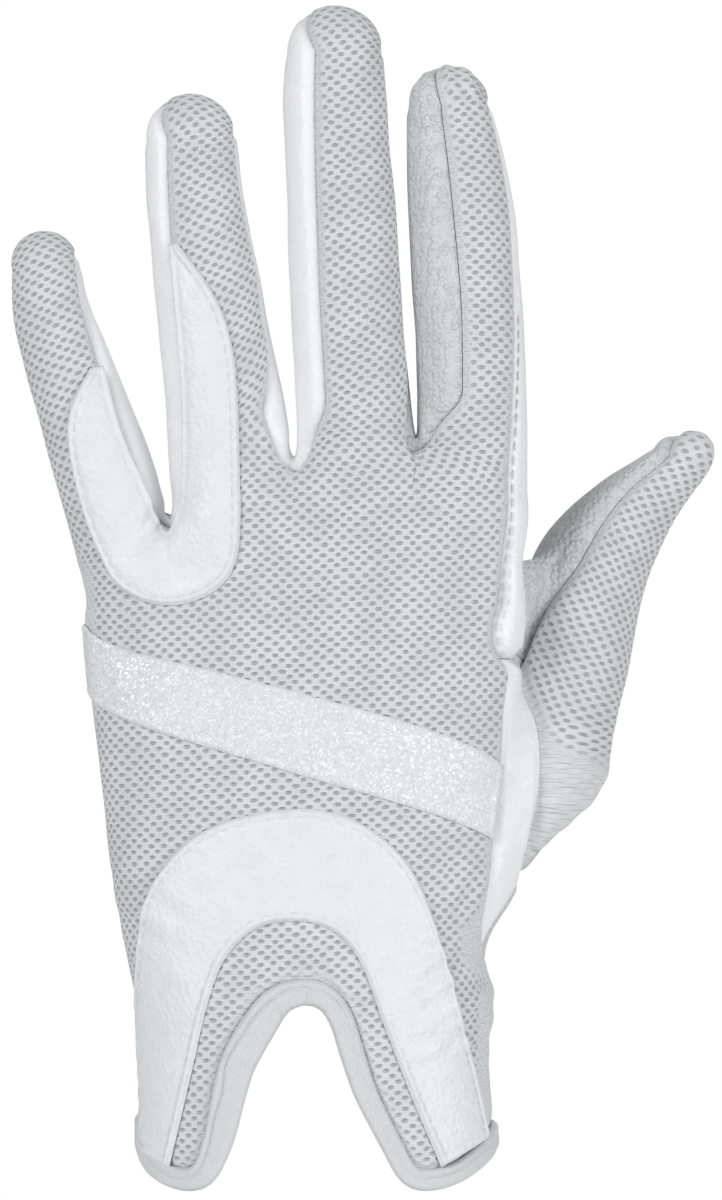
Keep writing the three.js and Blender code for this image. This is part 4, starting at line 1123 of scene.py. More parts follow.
@dataclass
class Tailor:
    """Sews, creases and finishes the glove's panels."""

    form: HandForm
    plan: SeamPlan
    relief: Relief
    # Seams sink in by their roll over their width; between them the cloth is full. All in mm.
    seam_gap: float = 0.14
    seam_roll: float = 0.90
    seam_width: float = 1.05
    fullness: float = 0.30
    full_width: float = 3.2
    relief_starts: Pair = (0.2, 2.2)
    wall_columns: int = 18
    gusset_columns: int = 24
    # Places in mm, seen from the back, where the mesh is bunched so that its holes close: the wrist's side,
    # the thumb's foot, beside the arch and on the little finger's side
    bunches: tuple[tuple[float, float, float, float], ...] = (
        (33, 26, 5, 22), (47, 76, 13, 11), (31, 46, 6, 8), (-44, 100, 3.5, 30))
    bunched_edge: float = 0.6
    # How the thumb's panels leave their mouth, as shares of the shaft
    thumb_turns_even: float = 0.48
    thumb_fills: float = 0.27
    # Where the leather spans the thumb's web: heights and distances from the form in mm, shares of the shaft
    web_heights: Pair = (93.0, 104.0)
    web_columns: int = 8
    web_stands_off: Pair = (0.1, 1.2)
    web_ends: Pair = (0.2, 0.34)
    web_evening: int = 60
    # Heights in mm under which the thumb's threads run level, and the height that they count from
    thread_level: Pair = (74.0, 96.0)
    thread_zero: float = 90.0

    def panel(self, cut: Cut, cloth: Cloth, wall: float, seam: float = 1.0) -> None:
        """Args:
            cut: What it is cut from.
            cloth: Its grids.
            wall: Thickness in mm.
            seam: How many times as deep and wide as elsewhere its seams sink in.
        """
        shell = Shell.sew(cloth, self.form)
        height = self.relief.height(shell.points, shell.out)
        roll = self.seam_roll * seam * np.exp(-(shell.edge / (self.seam_width * seam)) ** 2)
        full = self.fullness * (1 - np.exp(-(shell.edge / self.full_width) ** 2))
        shell.draw_in(self.seam_gap)
        shell.lift(height * ramp(shell.edge, *self.relief_starts) + full - roll)
        shell.edge = mix(shell.edge, self.bunched_edge, self.bunching(shell.points))
        cut.declare(shell.build(cut, wall))

    def bunching(self, p: Points) -> Points:
        """How far the mesh is bunched at points, from 0 to 1."""
        total = np.zeros(len(p))
        for x, z, wide, high in self.bunches:
            total = np.maximum(total, np.exp(-((p[:, 0] - x) / wide) ** 4 - ((p[:, 2] - z) / high) ** 4))
        return total

    def side_wall(self, n: int) -> Cloth:
        """A side wall: down one finger, through the crotch and up the next."""
        web = self.plan.web_line(n, self.wall_columns)
        down = self.plan.finger(n, "back_high", "palm_high", self.wall_columns, web)[::-1]
        rise = self.plan.finger(n + 1, "back_low", "palm_low", self.wall_columns, web)
        down[-1] = rise[0] = web
        return Cloth().add(np.concatenate([down, rise[1:]]))

    def index_strip(self) -> Cloth:
        """The strip between back and palm, from the web of the thumb to the index finger's tip."""
        plan = self.plan
        low = plan.thumb_side[plan.cuff_rows + plan.gusset_rows:]
        high = plan.strip_side
        lower = self.form.settle(mix(low[:, None], high[:, None], shares(self.wall_columns)[None, :, None]))
        lower[:, 0], lower[:, -1] = low, high
        foot = lower[-1]
        upper = plan.finger(INDEX, "back_high", "palm_high", self.wall_columns, foot)
        return Cloth().add(np.concatenate([lower, upper[1:]]))

    def gusset(self) -> Cloth:
        """The wedge between the back panel and the thumb's mesh."""
        plan = self.plan
        low = plan.thumb_side[plan.cuff_rows:plan.cuff_rows + plan.gusset_rows + 1]
        across = shares(self.gusset_columns)[None, :, None]
        grid = self.form.settle(mix(low[:, None], plan.gusset_side[:, None], across))
        grid[:, 0], grid[:, -1] = low, plan.gusset_side
        return Cloth().add(grid)

    def thumb_panel(self, palm: bool) -> Cloth:
        """One of the thumb's two panels: a fan from its mouth in the glove's body up to its tip.

        Args:
            palm: Whether it is the panel on the palm's side.

        Returns:
            The panel's grid.
        """
        plan, thumb = self.plan, self.form.thumb
        if palm:
            web = plan.across(plan.thumb_mouth[-1], plan.thumb_web, self.web_columns)
            feet = np.concatenate([web[:-1], plan.ball[::-1]])
        else:
            feet = plan.thumb_mouth[::-1]
        along = np.clip(thumb.along(feet), thumb.sections.keys[0], thumb.last)
        away = feet - thumb.centre(along)
        turn = np.degrees(np.arctan2(away @ thumb.side, -away[:, 1] / thumb.depth))
        if palm:
            turn = np.where(turn > 0, turn - 360, turn)
        reach = np.linalg.norm(away, axis=-1) / thumb.radius(along)
        j = shares(len(feet) - 1)[None, :]
        back = 360 if palm else 0

        def target(way: Points) -> Points:
            """Turns of the columns further up the thumb."""
            return mix(plan.THUMB_SEAMS.read("low", way), plan.THUMB_SEAMS.read("high", way) - back, j)

        share = (shares(plan.finger_rows) ** plan.foot_crowding)[:, None]
        way = mix(along[None], thumb.last, share)
        turns = mix(turn[None], target(way), ramp(share, 0, self.thumb_turns_even))
        grid = thumb.point(way, turns, mix(reach[None], 1.0, ramp(share, 0, self.thumb_fills)))
        top = target(np.full_like(along, thumb.last)[None])
        tip = thumb.tip(top, mix(*plan.THUMB_TIP, j), shares(plan.tip_rows)[1:, None])
        whole = np.concatenate([grid, tip])
        grid = self.form.settle(whole)
        if palm:
            self._bridge(grid, whole, feet, share)
        grid[0] = feet
        return Cloth().add(grid, self._thumb_threads(grid))

    def _bridge(self, grid: Points, straight: Points, feet: Points, share: Points) -> None:
        """Lets the leather span the web between the thumb and the palm, in place.

        Args:
            grid: The panel settled on the form.
            straight: The same points before they were settled.
            feet: Its first row.
            share: How far up each row of the shaft lies.
        """
        high_enough = ramp(feet[:, 2], *self.web_heights) * ramp(np.arange(len(feet)), 0, 4)
        off = ramp(self.form.field(straight), *self.web_stands_off)
        rows = np.zeros((len(grid), 1))
        rows[:len(share)] = 1 - ramp(share, *self.web_ends)
        free = off * rows * high_enough[None]
        grid[:] = mix(grid, straight, free[..., None])
        loose = np.clip(rows * high_enough[None] * 1.5, 0, 1)[1:-1, 1:-1, None]
        for _ in range(self.web_evening):
            beside = (grid[2:, 1:-1] + grid[:-2, 1:-1] + grid[1:-1, 2:] + grid[1:-1, :-2]) / 4
            grid[1:-1, 1:-1] += (beside - grid[1:-1, 1:-1]) * loose * 0.6

    def _thumb_threads(self, grid: Points) -> Points:
        """Cloth coordinates of a thumb panel: distance round the thumb, and height up it."""
        thumb, shaft = self.form.thumb, self.plan.finger_rows + 1
        height = thumb.along(grid) * thumb.length
        level = 1 - ramp(grid[..., 2], *self.thread_level)
        height = mix(height, (grid[..., 2] - self.thread_zero) * 1.1, level)
        steps = np.linalg.norm(np.diff(grid[shaft - 1:], axis=0), axis=-1)
        height[shaft:] = height[shaft - 1] + np.cumsum(steps, axis=0)
        span = np.linalg.norm(np.diff(grid, axis=1), axis=-1)
        steps = np.sqrt(np.maximum(span ** 2 - np.diff(height, axis=1) ** 2, (span * 0.3) ** 2))
        return np.stack([from_middle(steps), height], -1)

    def overlay(self, cut: Cut, grid: Points, hem: "Hem") -> None:
        """Makes a piece that is sewn flat onto the mesh.

        Args:
            cut: What it is cut from.
            grid: Its points on the form.
            hem: The profile of its edge.
        """
        shell = Shell.sew(Cloth().add(grid), self.form)
        base = self.relief.height(shell.points, shell.out) * hem.follows + self.fullness + hem.clearance
        crinkle = bumps(shell.points, hem.crinkle_size, 11) * hem.crinkle
        profile = hem.profile(shell.edge) + crinkle * ramp(shell.edge, 0.3, 2.5)
        shell.lift(base + profile)
        cut.declare(shell.build(cut, np.maximum(profile - 0.05, hem.least_wall)))


@dataclass(frozen=True)
class Hem:
    """Profile of the edge of a piece that is sewn onto the mesh, in mm."""

    thickness: float = 0.80
    edge_round: float = 0.38
    fold_lift: float = 0.22
    fold_width: float = 0.60
    stitch_inset: float = 1.45
    stitch_dip: float = 0.26
    stitch_width: float = 0.32
    clearance: float = 0.08
    edge_height: float = 0.18
    least_wall: float = 0.12
    crinkle: float = 0.05
    crinkle_size: float = 2.6
    follows: float = 0.8

    def profile(self, edge: Points) -> Points:
        """Height of the outer face over the mesh, by distance from the edge."""
        wall = self.edge_height + self.thickness * (1 - np.exp(-(edge / self.edge_round) ** 2))
        fold = self.fold_lift * np.exp(-((edge - self.stitch_inset / 2) / self.fold_width) ** 2)
        dip = self.stitch_dip * np.exp(-((edge - self.stitch_inset) / self.stitch_width) ** 2)
        return wall + fold - dip


def closer(count: int) -> Points:
    """Shares from 0 to 1 that crowd at both ends."""
    return (1 - np.cos(np.linspace(0, math.pi, count + 1))) / 2


def finer_rows(grid: Points, times: int) -> Points:
    """Adds rows along smooth curves through the given ones.

    Args:
        grid: Rows of points.
        times: How many new steps each step is divided into.

    Returns:
        The finer grid.
    """
    rows = len(grid)
    at = np.linspace(0, rows - 1, (rows - 1) * times + 1)
    n = np.minimum(at.astype(int), rows - 2)
    t = (at - n)[:, None, None]
    a, b, c, d = (grid[np.clip(n + k, 0, rows - 1)] for k in (-1, 0, 1, 2))
    square, cube = 2 * a - 5 * b + 4 * c - d, 3 * b - a - 3 * c + d
    return 0.5 * (2 * b + (c - a) * t + square * t ** 2 + cube * t ** 3)


@dataclass
class WebPatch:
    """Leather patch: an arm on the little finger, a round drop under the web, an arm on the ring finger."""

    tailor: Tailor
    reach: float = 15.0
    drop_angle: float = 78.0
    drop_start: float = 0.04
    seam_inset: float = 1.8
    columns: int = 38
    arm_rows: int = 7
    drop_rows: int = 15
    finer: int = 10
    little_arm: Table = field(default_factory=lambda: Table(
        "along turn", (0.2, -40), (0.32, -34), (0.42, -24), (0.51, -8), (0.56, 28)))
    ring_arm: Table = field(default_factory=lambda: Table(
        "along turn", (0.06, 0), (0.18, 8), (0.33, 18), (0.46, 22), (0.56, 20), (0.62, 4), (0.655, -26)))

    def _arm(self, n: int, edge: str, rows: Table, share: float) -> Points:
        """One row across an arm."""
        form, plan = self.tailor.form, self.tailor.plan
        along = float(mix(rows.keys[0], rows.keys[-1], share))
        seam = float(plan.FINGER_SEAMS[n].read(edge, along))
        inner = seam - math.copysign(self.seam_inset, seam)
        turn = mix(inner, float(rows.read("turn", along)), closer(self.columns))
        return form.fingers[n].point(np.full_like(turn, along), turn)

    def grid(self) -> Points:
        """Rows from the end of one arm to the end of the other."""
        form, plan = self.tailor.form, self.tailor.plan
        web = plan.webs["back"][0]
        count = self.arm_rows
        rows = [self._arm(LITTLE, "back_high", self.little_arm, n / count) for n in range(count, 0, -1)]
        for angle in np.radians(np.linspace(-self.drop_angle, self.drop_angle, self.drop_rows)):
            far = mix(self.reach * self.drop_start, self.reach, closer(self.columns))
            rows.append(form.face_at(web[0] + np.sin(angle) * far, web[2] - np.cos(angle) * far, Face.BACK))
        rows += [self._arm(RING, "back_low", self.ring_arm, n / count) for n in range(1, count + 1)]
        grid = np.stack([form.settle(row) for row in rows])
        for _ in range(4):
            grid[1:-1] = (grid[:-2] + 2 * grid[1:-1] + grid[2:]) / 4
        return form.settle(finer_rows(grid, self.finer))


@dataclass
class CuffArch:
    """Leather horseshoe over the cuff's notch. Its edges are shares of its half width and its height."""

    tailor: Tailor
    height: float = 72.8
    half_width: float = 33.6
    columns: int = 38
    rows: int = 260
    edges: Table = field(default_factory=lambda: Table(
        "place outer_across outer_up inner_across inner_up",
        (0, -1, 0.112, -0.82, 0.072), (0.12, -1, 0.36, -0.7, 0.31),
        (0.24, -0.995, 0.6, -0.59, 0.52), (0.32, -0.93, 0.79, -0.5, 0.62),
        (0.4, -0.64, 0.94, -0.33, 0.695), (0.5, -0.13, 1, -0.09, 0.712),
        (0.58, 0.24, 0.965, 0.1, 0.685), (0.66, 0.52, 0.85, 0.24, 0.61),
        (0.76, 0.7, 0.64, 0.38, 0.44), (0.88, 0.84, 0.39, 0.51, 0.28), (1, 0.95, 0.145, 0.69, 0.078)))

    def grid(self) -> Points:
        """Rows from one leg's end to the other's."""
        form = self.tailor.form
        place = shares(self.rows)[:, None]
        j = closer(self.columns)[None]
        read = self.edges.read
        x = mix(read("outer_across", place), read("inner_across", place), j) * self.half_width
        z = mix(read("outer_up", place), read("inner_up", place), j) * self.height
        middle, width, _, _ = form.body.section(x, z)
        widest = width * 0.985
        x = np.clip(x, middle - widest, middle + widest)
        return form.face_at(x, z, Face.BACK)


@dataclass
class GlitterBand:
    """Slanted band over the back of the hand, falling towards the thumb."""

    tailor: Tailor
    height: float = 101.2
    fall: float = 27.4
    width: float = 13.4
    # Turns in degrees by which its ends stay clear of the seams
    clear_of_seams: Pair = (2.5, 0.8)
    columns: int = 26
    rows: int = 190
    line: Table = field(default_factory=lambda: Table(
        "share fall width", (0, -0.02, 0.96), (0.2, 0.04, 1), (0.45, 0.3, 1.08), (0.7, 0.62, 1.12),
        (1, 1, 1.04)))

    def grid(self) -> Points:
        """Rows from the little finger's side to the thumb's."""
        form, plan = self.tailor.form, self.tailor.plan
        share = shares(self.rows)[:, None]
        z = self.height - self.fall * self.line.read("fall", share)
        z = z + self.width * self.line.read("width", share) * (0.5 - closer(self.columns)[None])
        near_clear, far_clear = self.clear_of_seams
        far = plan.THUMB_SIDE.read("turn", z / form.body.palm_length) - far_clear
        return form.settle(form.body.point(mix(plan.ulnar_turn + near_clear, far, share), z)[0])


@dataclass
class CuffBinding:
    """Folded tape along the mouth of both panels: a rolled edge over the mesh, a groove and a flat fold."""

    tailor: Tailor
    lap: float = 0.6
    wall: float = 2.0
    stand: float = 0.95
    ridge: float = 0.30
    groove_at: float = 1.75
    groove: float = 0.55
    steps: int = 700
    top: int = 30
    under: int = 12
    sizes: Table = field(default_factory=lambda: Table(
        "turn width groove pucker", (-125, 4.6, 0.3, 0.1), (-72, 4, 0.3, 0.1), (-58, 3.5, 0.3, 0.15),
        (-47, 3.6, 0.4, 0.2), (-40, 4.9, 0.9, 0.2), (-33, 6.2, 1, 0.2), (-24, 6.2, 1, 0.3),
        (-14, 5.3, 1, 0.9), (-4, 4.6, 0.8, 1), (6, 4.3, 0.6, 0.9), (14, 4, 0.35, 0.3),
        (24, 3.7, 0.3, 0.15), (34, 3.4, 0.4, 0.3), (48, 3.4, 0.5, 0.2), (62, 3.8, 0.4, 0.2),
        (90, 4.5, 0.3, 0.1), (115, 4.8, 0.3, 0.1), (235, 4.6, 0.3, 0.1)))

    def build(self, finish: Material) -> None:
        """Sweeps the tape's section round the cuff.

        Args:
            finish: Its material.
        """
        plan, form = self.tailor.plan, self.tailor.form
        hem = np.concatenate([plan.back_hem, plan.palm_hem[::-1][1:]])
        length = run_of(hem)[-1]
        wanted = np.linspace(0, length, self.steps + 1)
        loop = form.settle(read_line(hem, wanted[:-1]))
        normal = form.outwards(loop)
        tangent = unit(np.roll(loop, -4, axis=0) - np.roll(loop, 4, axis=0))
        down = unit(np.cross(tangent, normal))
        away, out, section = self._section(loop, wanted[:-1])
        points = loop[:, None] + down[:, None] * away[..., None] + normal[:, None] * out[..., None]
        around = self.top + self.under
        index = np.arange(self.steps * around).reshape(self.steps, around)
        after, beside = np.roll(index, -1, axis=0), np.roll(index, -1, axis=1)
        both = np.roll(after, -1, axis=1)
        faces = np.stack([index, beside, both, after], -1).reshape(-1, 4)
        i, j = np.divmod(index.reshape(-1), around)
        corners = ((0, 0), (0, 1), (1, 1), (1, 0))
        threads = np.stack([np.stack([wanted[i + a], section[j + b]], -1) for a, b in corners], 1)
        cut = Cut("cuff_binding", finish, Slot.TAPE, (0.011, length * MM), 0.0062 * length * MM)
        piece = make_piece(cut, points.reshape(-1, 3), faces, threads)
        face_outwards(piece)
        cut.declare(piece)

    def _section(self, loop: Points, ring: Points) -> tuple[Points, Points, Points]:
        """Distance down and height of every section's points, and their distances round the first one."""
        turn = self.tailor.form.body.turn_of(loop)
        turn = np.where(turn < self.tailor.plan.ulnar_turn, turn + 360, turn)[:, None]
        width = self.sizes.read("width", turn)
        over = np.linspace(0, 1, self.top)[None]
        back = np.linspace(1, 0, self.under + 2)[None, 1:-1]
        share = np.concatenate([over, back], axis=1)
        upper = np.concatenate([np.ones_like(over), -np.ones_like(back)], axis=1)
        away = share * (width + self.lap) - self.lap
        ring = ring[:, None]
        wave = 0.25 * np.sin(ring / 3.7 + 1.4 * np.sin(ring / 8.0)) + 0.12 * np.sin(ring / 1.6)
        from_mesh = away + self.lap
        ridge = self.ridge * np.exp(-((from_mesh - 0.85) / 0.45) ** 2)
        groove = self.groove * np.exp(-((from_mesh - self.groove_at - wave) / 0.26) ** 2)
        amount = self.sizes.read("groove", turn)
        fold = np.sin(ring / 0.95 + 1.6 * np.sin(ring / 3.1) + 0.5 * share) * np.sin(ring / 2.3 + 0.7) ** 2
        pucker = 0.34 * self.sizes.read("pucker", turn) * fold * ramp(share, 0.2, 0.5)
        pucker = pucker + 0.07 * np.sin(ring / 2.6 + 2.0 * np.sin(ring / 6.0)) * share
        swell = (1 - np.abs(2 * share - 1) ** 7) * self.wall / 2
        out = self.stand - self.wall / 2 + upper * swell
        out = out + np.where(upper > 0, amount * (ridge - groove) + pucker, 0.0)
        away = away + share * (0.3 * pucker + 0.10 * np.sin(ring / 4.9))
        first = np.stack([away[0], out[0]], -1)
        section = run_of(np.concatenate([first, first[:1]]))
        return away, out, section


def face_outwards(piece: Object) -> None:
    """Turns a closed piece's faces outwards, with Blender's own operator."""
    bpy.ops.object.select_all(action="DESELECT")
    bpy.context.view_layer.objects.active = piece
    piece.select_set(True)
    bpy.ops.object.mode_set(mode="EDIT")
    bpy.ops.mesh.select_all(action="SELECT")
    bpy.ops.mesh.normals_make_consistent(inside=False)
    bpy.ops.object.mode_set(mode="OBJECT")
    piece.select_set(False)


@dataclass
class Stitching:
    """Rows of single stitches: one is modelled and the others are copies of it."""

    tailor: Tailor
    length: float = 2.0
    pitch: float = 2.7
    thickness: float = 0.26
    stand: float = 0.06
    follows: float = 0.8
    reach: float = 0.8

    def line(self, grid: Points, inset: float, last: bool) -> Points:
        """A line inside one long edge of a grid.

        Args:
            grid: Rows of points.
            inset: Distance from the edge in mm.
            last: Whether the edge is the last column.

        Returns:
            The line's points.
        """
        rows = grid[:, ::-1] if last else grid
        return np.array([read_line(row, inset) for row in rows if run_of(row)[-1] > inset * 2])

    def _one(self) -> tuple[Points, Points]:
        """Models one stitch and returns its points in mm and its faces."""
        bpy.ops.object.select_all(action="DESELECT")
        bpy.ops.mesh.primitive_uv_sphere_add(segments=8, ring_count=5, radius=0.5, location=(0, 0, 0))
        stitch = bpy.context.object
        bpy.ops.object.mode_set(mode="EDIT")
        bpy.ops.mesh.select_all(action="SELECT")
        bpy.ops.transform.rotate(value=math.pi / 2, orient_axis="Y", center_override=(0, 0, 0))
        size = (self.length, self.thickness * 1.5, self.thickness)
        bpy.ops.transform.resize(value=size, center_override=(0, 0, 0))
        bpy.ops.mesh.quads_convert_to_tris()
        bpy.ops.object.mode_set(mode="OBJECT")
        points = np.array([v.co for v in stitch.data.vertices])
        faces = np.array([list(p.vertices) for p in stitch.data.polygons])
        bpy.data.objects.remove(stitch)
        return points, faces

    def build(self, name: str, lines: Iterable[tuple[Points, float]], finish: Material,
              slot: Slot) -> Object:
        """Lays stitches along lines.

        Args:
            name: Name of the piece.
            lines: Each line's points on the form and the height of the surface over it.
            finish: The thread's material.
            slot: The record's slot. It is not used.

        Returns:
            The piece.
        """
        form, relief = self.tailor.form, self.tailor.relief
        one, tris = self._one()
        points, faces = [], []
        for line, height in lines:
            length = run_of(line)[-1]
            count = int(length / self.pitch)
            at = (np.arange(count) + 0.5) * length / count
            p = form.settle(read_line(line, at))
            out = form.outwards(p)
            way = unit(read_line(line, at + self.reach) - read_line(line, at - self.reach))
            way = unit(way - out * (way * out).sum(-1, keepdims=True))
            side = np.cross(out, way)
            base = p + out * (relief.height(p, out) * self.follows + height + self.stand)[:, None]
            made = (base[:, None] + one[None, :, :1] * way[:, None] + one[None, :, 1:2] * side[:, None]
                    + one[None, :, 2:] * out[:, None])
            for stitch in made:
                faces.append(tris + len(one) * len(points))
                points.append(stitch)
        piece = link_mesh(name, np.concatenate(points), np.concatenate(faces).tolist(), finish)
        face_outwards(piece)
        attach(piece, "root")
        log.info("%s: %d stitches", name, len(points))
        return piece


def linear(hex_colour: str) -> tuple[float, float, float, float]:
    """Turns an sRGB hex colour into a linear one."""
    values = [int(hex_colour[n:n + 2], 16) / 255 for n in (1, 3, 5)]
    red, green, blue = (v / 12.92 if v <= 0.04045 else ((v + 0.055) / 1.055) ** 2.4 for v in values)
    return red, green, blue, 1.0


def add_node(tree: NodeTree, kind: str, *values: object, out: int | str = 0,
             **named: object) -> NodeSocket | None:
    """Adds a node with its settings and links.

    Args:
        tree: The tree that it goes into.
        kind: The node's type, without the words that every type starts with.
        values: A value or another node's output for each of the first inputs, in order.
        out: Name or number of the output that is handed back.
        named: The node's own settings, and with a capital letter the same for its further inputs.

    Returns:
        The chosen output, or nothing where the node has none.
    """
    node = tree.nodes.new("ShaderNode" + kind)
    for name in [name for name in named if name[0].islower()]:
        setattr(node, name, named.pop(name))
    sockets = {socket.identifier: socket for socket in node.inputs}
    for socket, value in [*zip(node.inputs, values), *((sockets[name], named[name]) for name in named)]:
        if isinstance(value, NodeSocket):
            tree.links.new(value, socket)
        else:
            socket.default_value = value
    return node.outputs[out] if len(node.outputs) else None


# Settings that many nodes share
PLUS, MINUS, TIMES, OVER = ({"operation": word} for word in ("ADD", "SUBTRACT", "MULTIPLY", "DIVIDE"))
SMOOTH = {"interpolation_type": "SMOOTHSTEP"}
TONES = {"data_type": "RGBA", "out": 2}
HALF = (0.5, 0.5, 0.5)
Adder = Callable[..., NodeSocket]


@dataclass(frozen=True)
class Finish:
    """A material. Each kind says what its surface looks like, with its patterns' sizes in mm."""

    name: str

    def build(self) -> Material:
        """Makes the material round its one shader."""
        material = bpy.data.materials.new(self.name)
        material.use_nodes = True
        material.node_tree.nodes.clear()
        add = partial(add_node, material.node_tree)
        add("OutputMaterial", add("BsdfPrincipled", **self.look(add)))
        return material

    def look(self, add: Adder) -> dict[str, object]:
        """Says what goes into the shader.

        Args:
            add: Adds a node to the material.

        Returns:
            A value or a node's output for each of the shader's named inputs.
        """
        raise NotImplementedError


@dataclass(frozen=True)
class AirMesh(Finish):
    """Warp-knitted polyester spacer mesh, laid on the cloth's own thread coordinates."""

    # To the eye: matt white yarn in a lattice of staggered oval holes, with shade painted inside, which close
    # towards the seams and where the cloth is bunched. The yarn's fuzz is drawn coarser than real.
    name: str = "warp_knit_air_mesh"
    yarn: str = "#cccdcf"
    cloudy_yarn: str = "#d5d6d8"
    lit_yarn: str = "#d9dadc"
    closed_yarn: str = "#d8d9db"
    # Colour painted inside the open holes as their shade
    hole_painted_shade: str = "#acaeb1"
    pitch: float = 2.6
    row: float = 1.07
    lean: float = 0.07
    hole_width: float = 1.12
    hole_height: float = 0.60
    yarn_grain: float = 0.35
    wander: float = 1 / 0.22
    wander_pull: Triple = (1.3, 0.9, 0.0)
    cloud: float = 1 / 0.13
    ragged_seam: float = 2.4
    well_walls: Pair = (1.55, 0.35)
    hole_shade_walls: Pair = (1.12, 0.42)
    well_opens: tuple[float, float, float, float] = (1.2, 3.6, 0.35, 1.0)
    dark_opens: Pair = (1.7, 4.2)
    rib: float = 0.55
    fuzz: float = 0.3
    depth: float = 0.42

    def look(self, add: Adder) -> dict[str, object]:
        """Says what goes into the shader."""
        uv = add("UVMap", uv_map="threads")
        wander = add("TexNoise", Vector=uv, Scale=1 / self.wander, Detail=1.0, out="Color")
        pull = add("VectorMath", wander, HALF, **MINUS)
        pulled = add("VectorMath", pull, self.wander_pull, uv, operation="MULTIPLY_ADD")
        u, v = add("SeparateXYZ", pulled).node.outputs[:2]
        level = add("Math", v, add("Math", u, self.lean, **TIMES), **MINUS)
        row = add("Math", level, self.row, **OVER)
        stagger = add("Math", add("Math", row, operation="FLOOR"), 0.5, **TIMES)
        column = add("Math", add("Math", u, self.pitch, **OVER), stagger, **PLUS)
        across = add("Math", add("Math", column, operation="FRACT"), 0.5, **MINUS)
        along = add("Math", add("Math", row, operation="FRACT"), 0.5, **MINUS)
        x = add("Math", across, 2 * self.pitch / self.hole_width, **TIMES)
        y = add("Math", along, 2 * self.row / self.hole_height, **TIMES)
        away = add("VectorMath", add("CombineXYZ", x, y), operation="LENGTH", out="Value")
        fine = add("TexNoise", Vector=uv, Scale=1 / self.yarn_grain, Detail=2.0, Roughness=0.6)
        broad = add("TexNoise", Vector=uv, Scale=1 / self.cloud, Detail=2.0)
        seam = add("Attribute", attribute_name="edge", out="Fac")
        edge = add("Math", seam, add("Math", broad, self.ragged_seam, **TIMES), **PLUS)
        opened = add("MapRange", edge, *self.dark_opens, **SMOOTH)
        closed = add("Math", 1.0, opened, **MINUS)
        well = add("Math", add("MapRange", away, *self.well_walls, **SMOOTH),
                   add("MapRange", edge, *self.well_opens, **SMOOTH), **TIMES)
        # Painted shade inside the holes, strongest at each open hole's middle
        dark = add("Math", add("MapRange", away, *self.hole_shade_walls, **SMOOTH), opened, **TIMES)
        clouds = add("MapRange", broad, 0.35, 0.65, **SMOOTH)
        yarn = add("Mix", clouds, A_Color=linear(self.yarn), B_Color=linear(self.cloudy_yarn), **TONES)
        lit = add("MapRange", fine, 0.4, 0.8, **SMOOTH)
        yarn = add("Mix", lit, A_Color=yarn, B_Color=linear(self.lit_yarn), **TONES)
        yarn = add("Mix", closed, A_Color=yarn, B_Color=linear(self.closed_yarn), **TONES)
        colour = add("Mix", dark, A_Color=yarn, B_Color=linear(self.hole_painted_shade), **TONES)
        ribbed = add("MapRange", add("Math", along, operation="ABSOLUTE"), 0.5, 0.1, **SMOOTH)
        rib = add("Math", ribbed, add("Math", closed, self.rib, **TIMES), **TIMES)
        rough = add("Math", fine, self.fuzz, **TIMES)
        height = add("Math", add("Math", rough, rib, **PLUS), well, **MINUS)
        bump = add("Bump", Height=height, Strength=1.0, Distance=self.depth * MM)
        return {"Base Color": colour, "Normal": bump, "Roughness": 0.85, "Specular IOR Level": 0.25,
                "Sheen Weight": 0.15, "Sheen Roughness": 0.5}


@dataclass(frozen=True)
class SyntheticLeather(Finish):
    """Polyurethane-coated microfibre, laid on Object coordinates, which are metres."""

    # To the eye: white and finely pebbled with a low satin gloss, and on the palm a comb of cells, painted
    # greyer as shade.
    # Real pebbles and cells are a little finer than these, which are drawn coarser so that they show.
    name: str = "coated_microfibre_leather"
    base: str = "#e3e4e6"
    shade: str = "#dfe0e2"
    pebble: float = 0.85
    pebble_depth: float = 0.10
    crease: float = 3.4
    crease_depth: float = 0.09
    grain: float = 0.5
    grain_depth: float = 0.03
    emboss: float = 0.0
    emboss_depth: float = 0.16

    def look(self, add: Adder) -> dict[str, object]:
        """Says what goes into the shader."""
        place = add("TexCoord", out="Object")
        cells = add("TexVoronoi", Vector=place, Scale=1 / (self.pebble * MM), feature="SMOOTH_F1")
        fine = add("TexNoise", Vector=place, Scale=1 / (self.grain * MM), Detail=2.0)
        broad = add("TexNoise", Vector=place, Scale=1 / (self.crease * MM), Detail=3.0, Distortion=0.6)
        pebbles = add("Math", add("MapRange", cells, 0.65, 0.1, **SMOOTH), self.pebble_depth, **TIMES)
        creases = add("Math", broad, self.crease_depth, **TIMES)
        grain = add("Math", fine, self.grain_depth, **TIMES)
        height = add("Math", add("Math", pebbles, creases, **PLUS), grain, **PLUS)
        if self.emboss:
            comb = add("TexVoronoi", Vector=place, Scale=1 / (self.emboss * MM), Randomness=0.7)
            raised = add("MapRange", comb, 0.72, 0.2, **SMOOTH)
            height = add("Math", height, add("Math", raised, self.emboss_depth, **TIMES), **PLUS)
        tone = add("MapRange", broad, 0.3, 0.7, **SMOOTH)
        colour = add("Mix", tone, A_Color=linear(self.shade), B_Color=linear(self.base), **TONES)
        bump = add("Bump", Height=height, Strength=1.0, Distance=MM)
        return {"Base Color": colour, "Normal": bump, "Roughness": 0.5, "IOR": 1.48, "Coat Weight": 0.05,
                "Sheen Weight": 0.08}


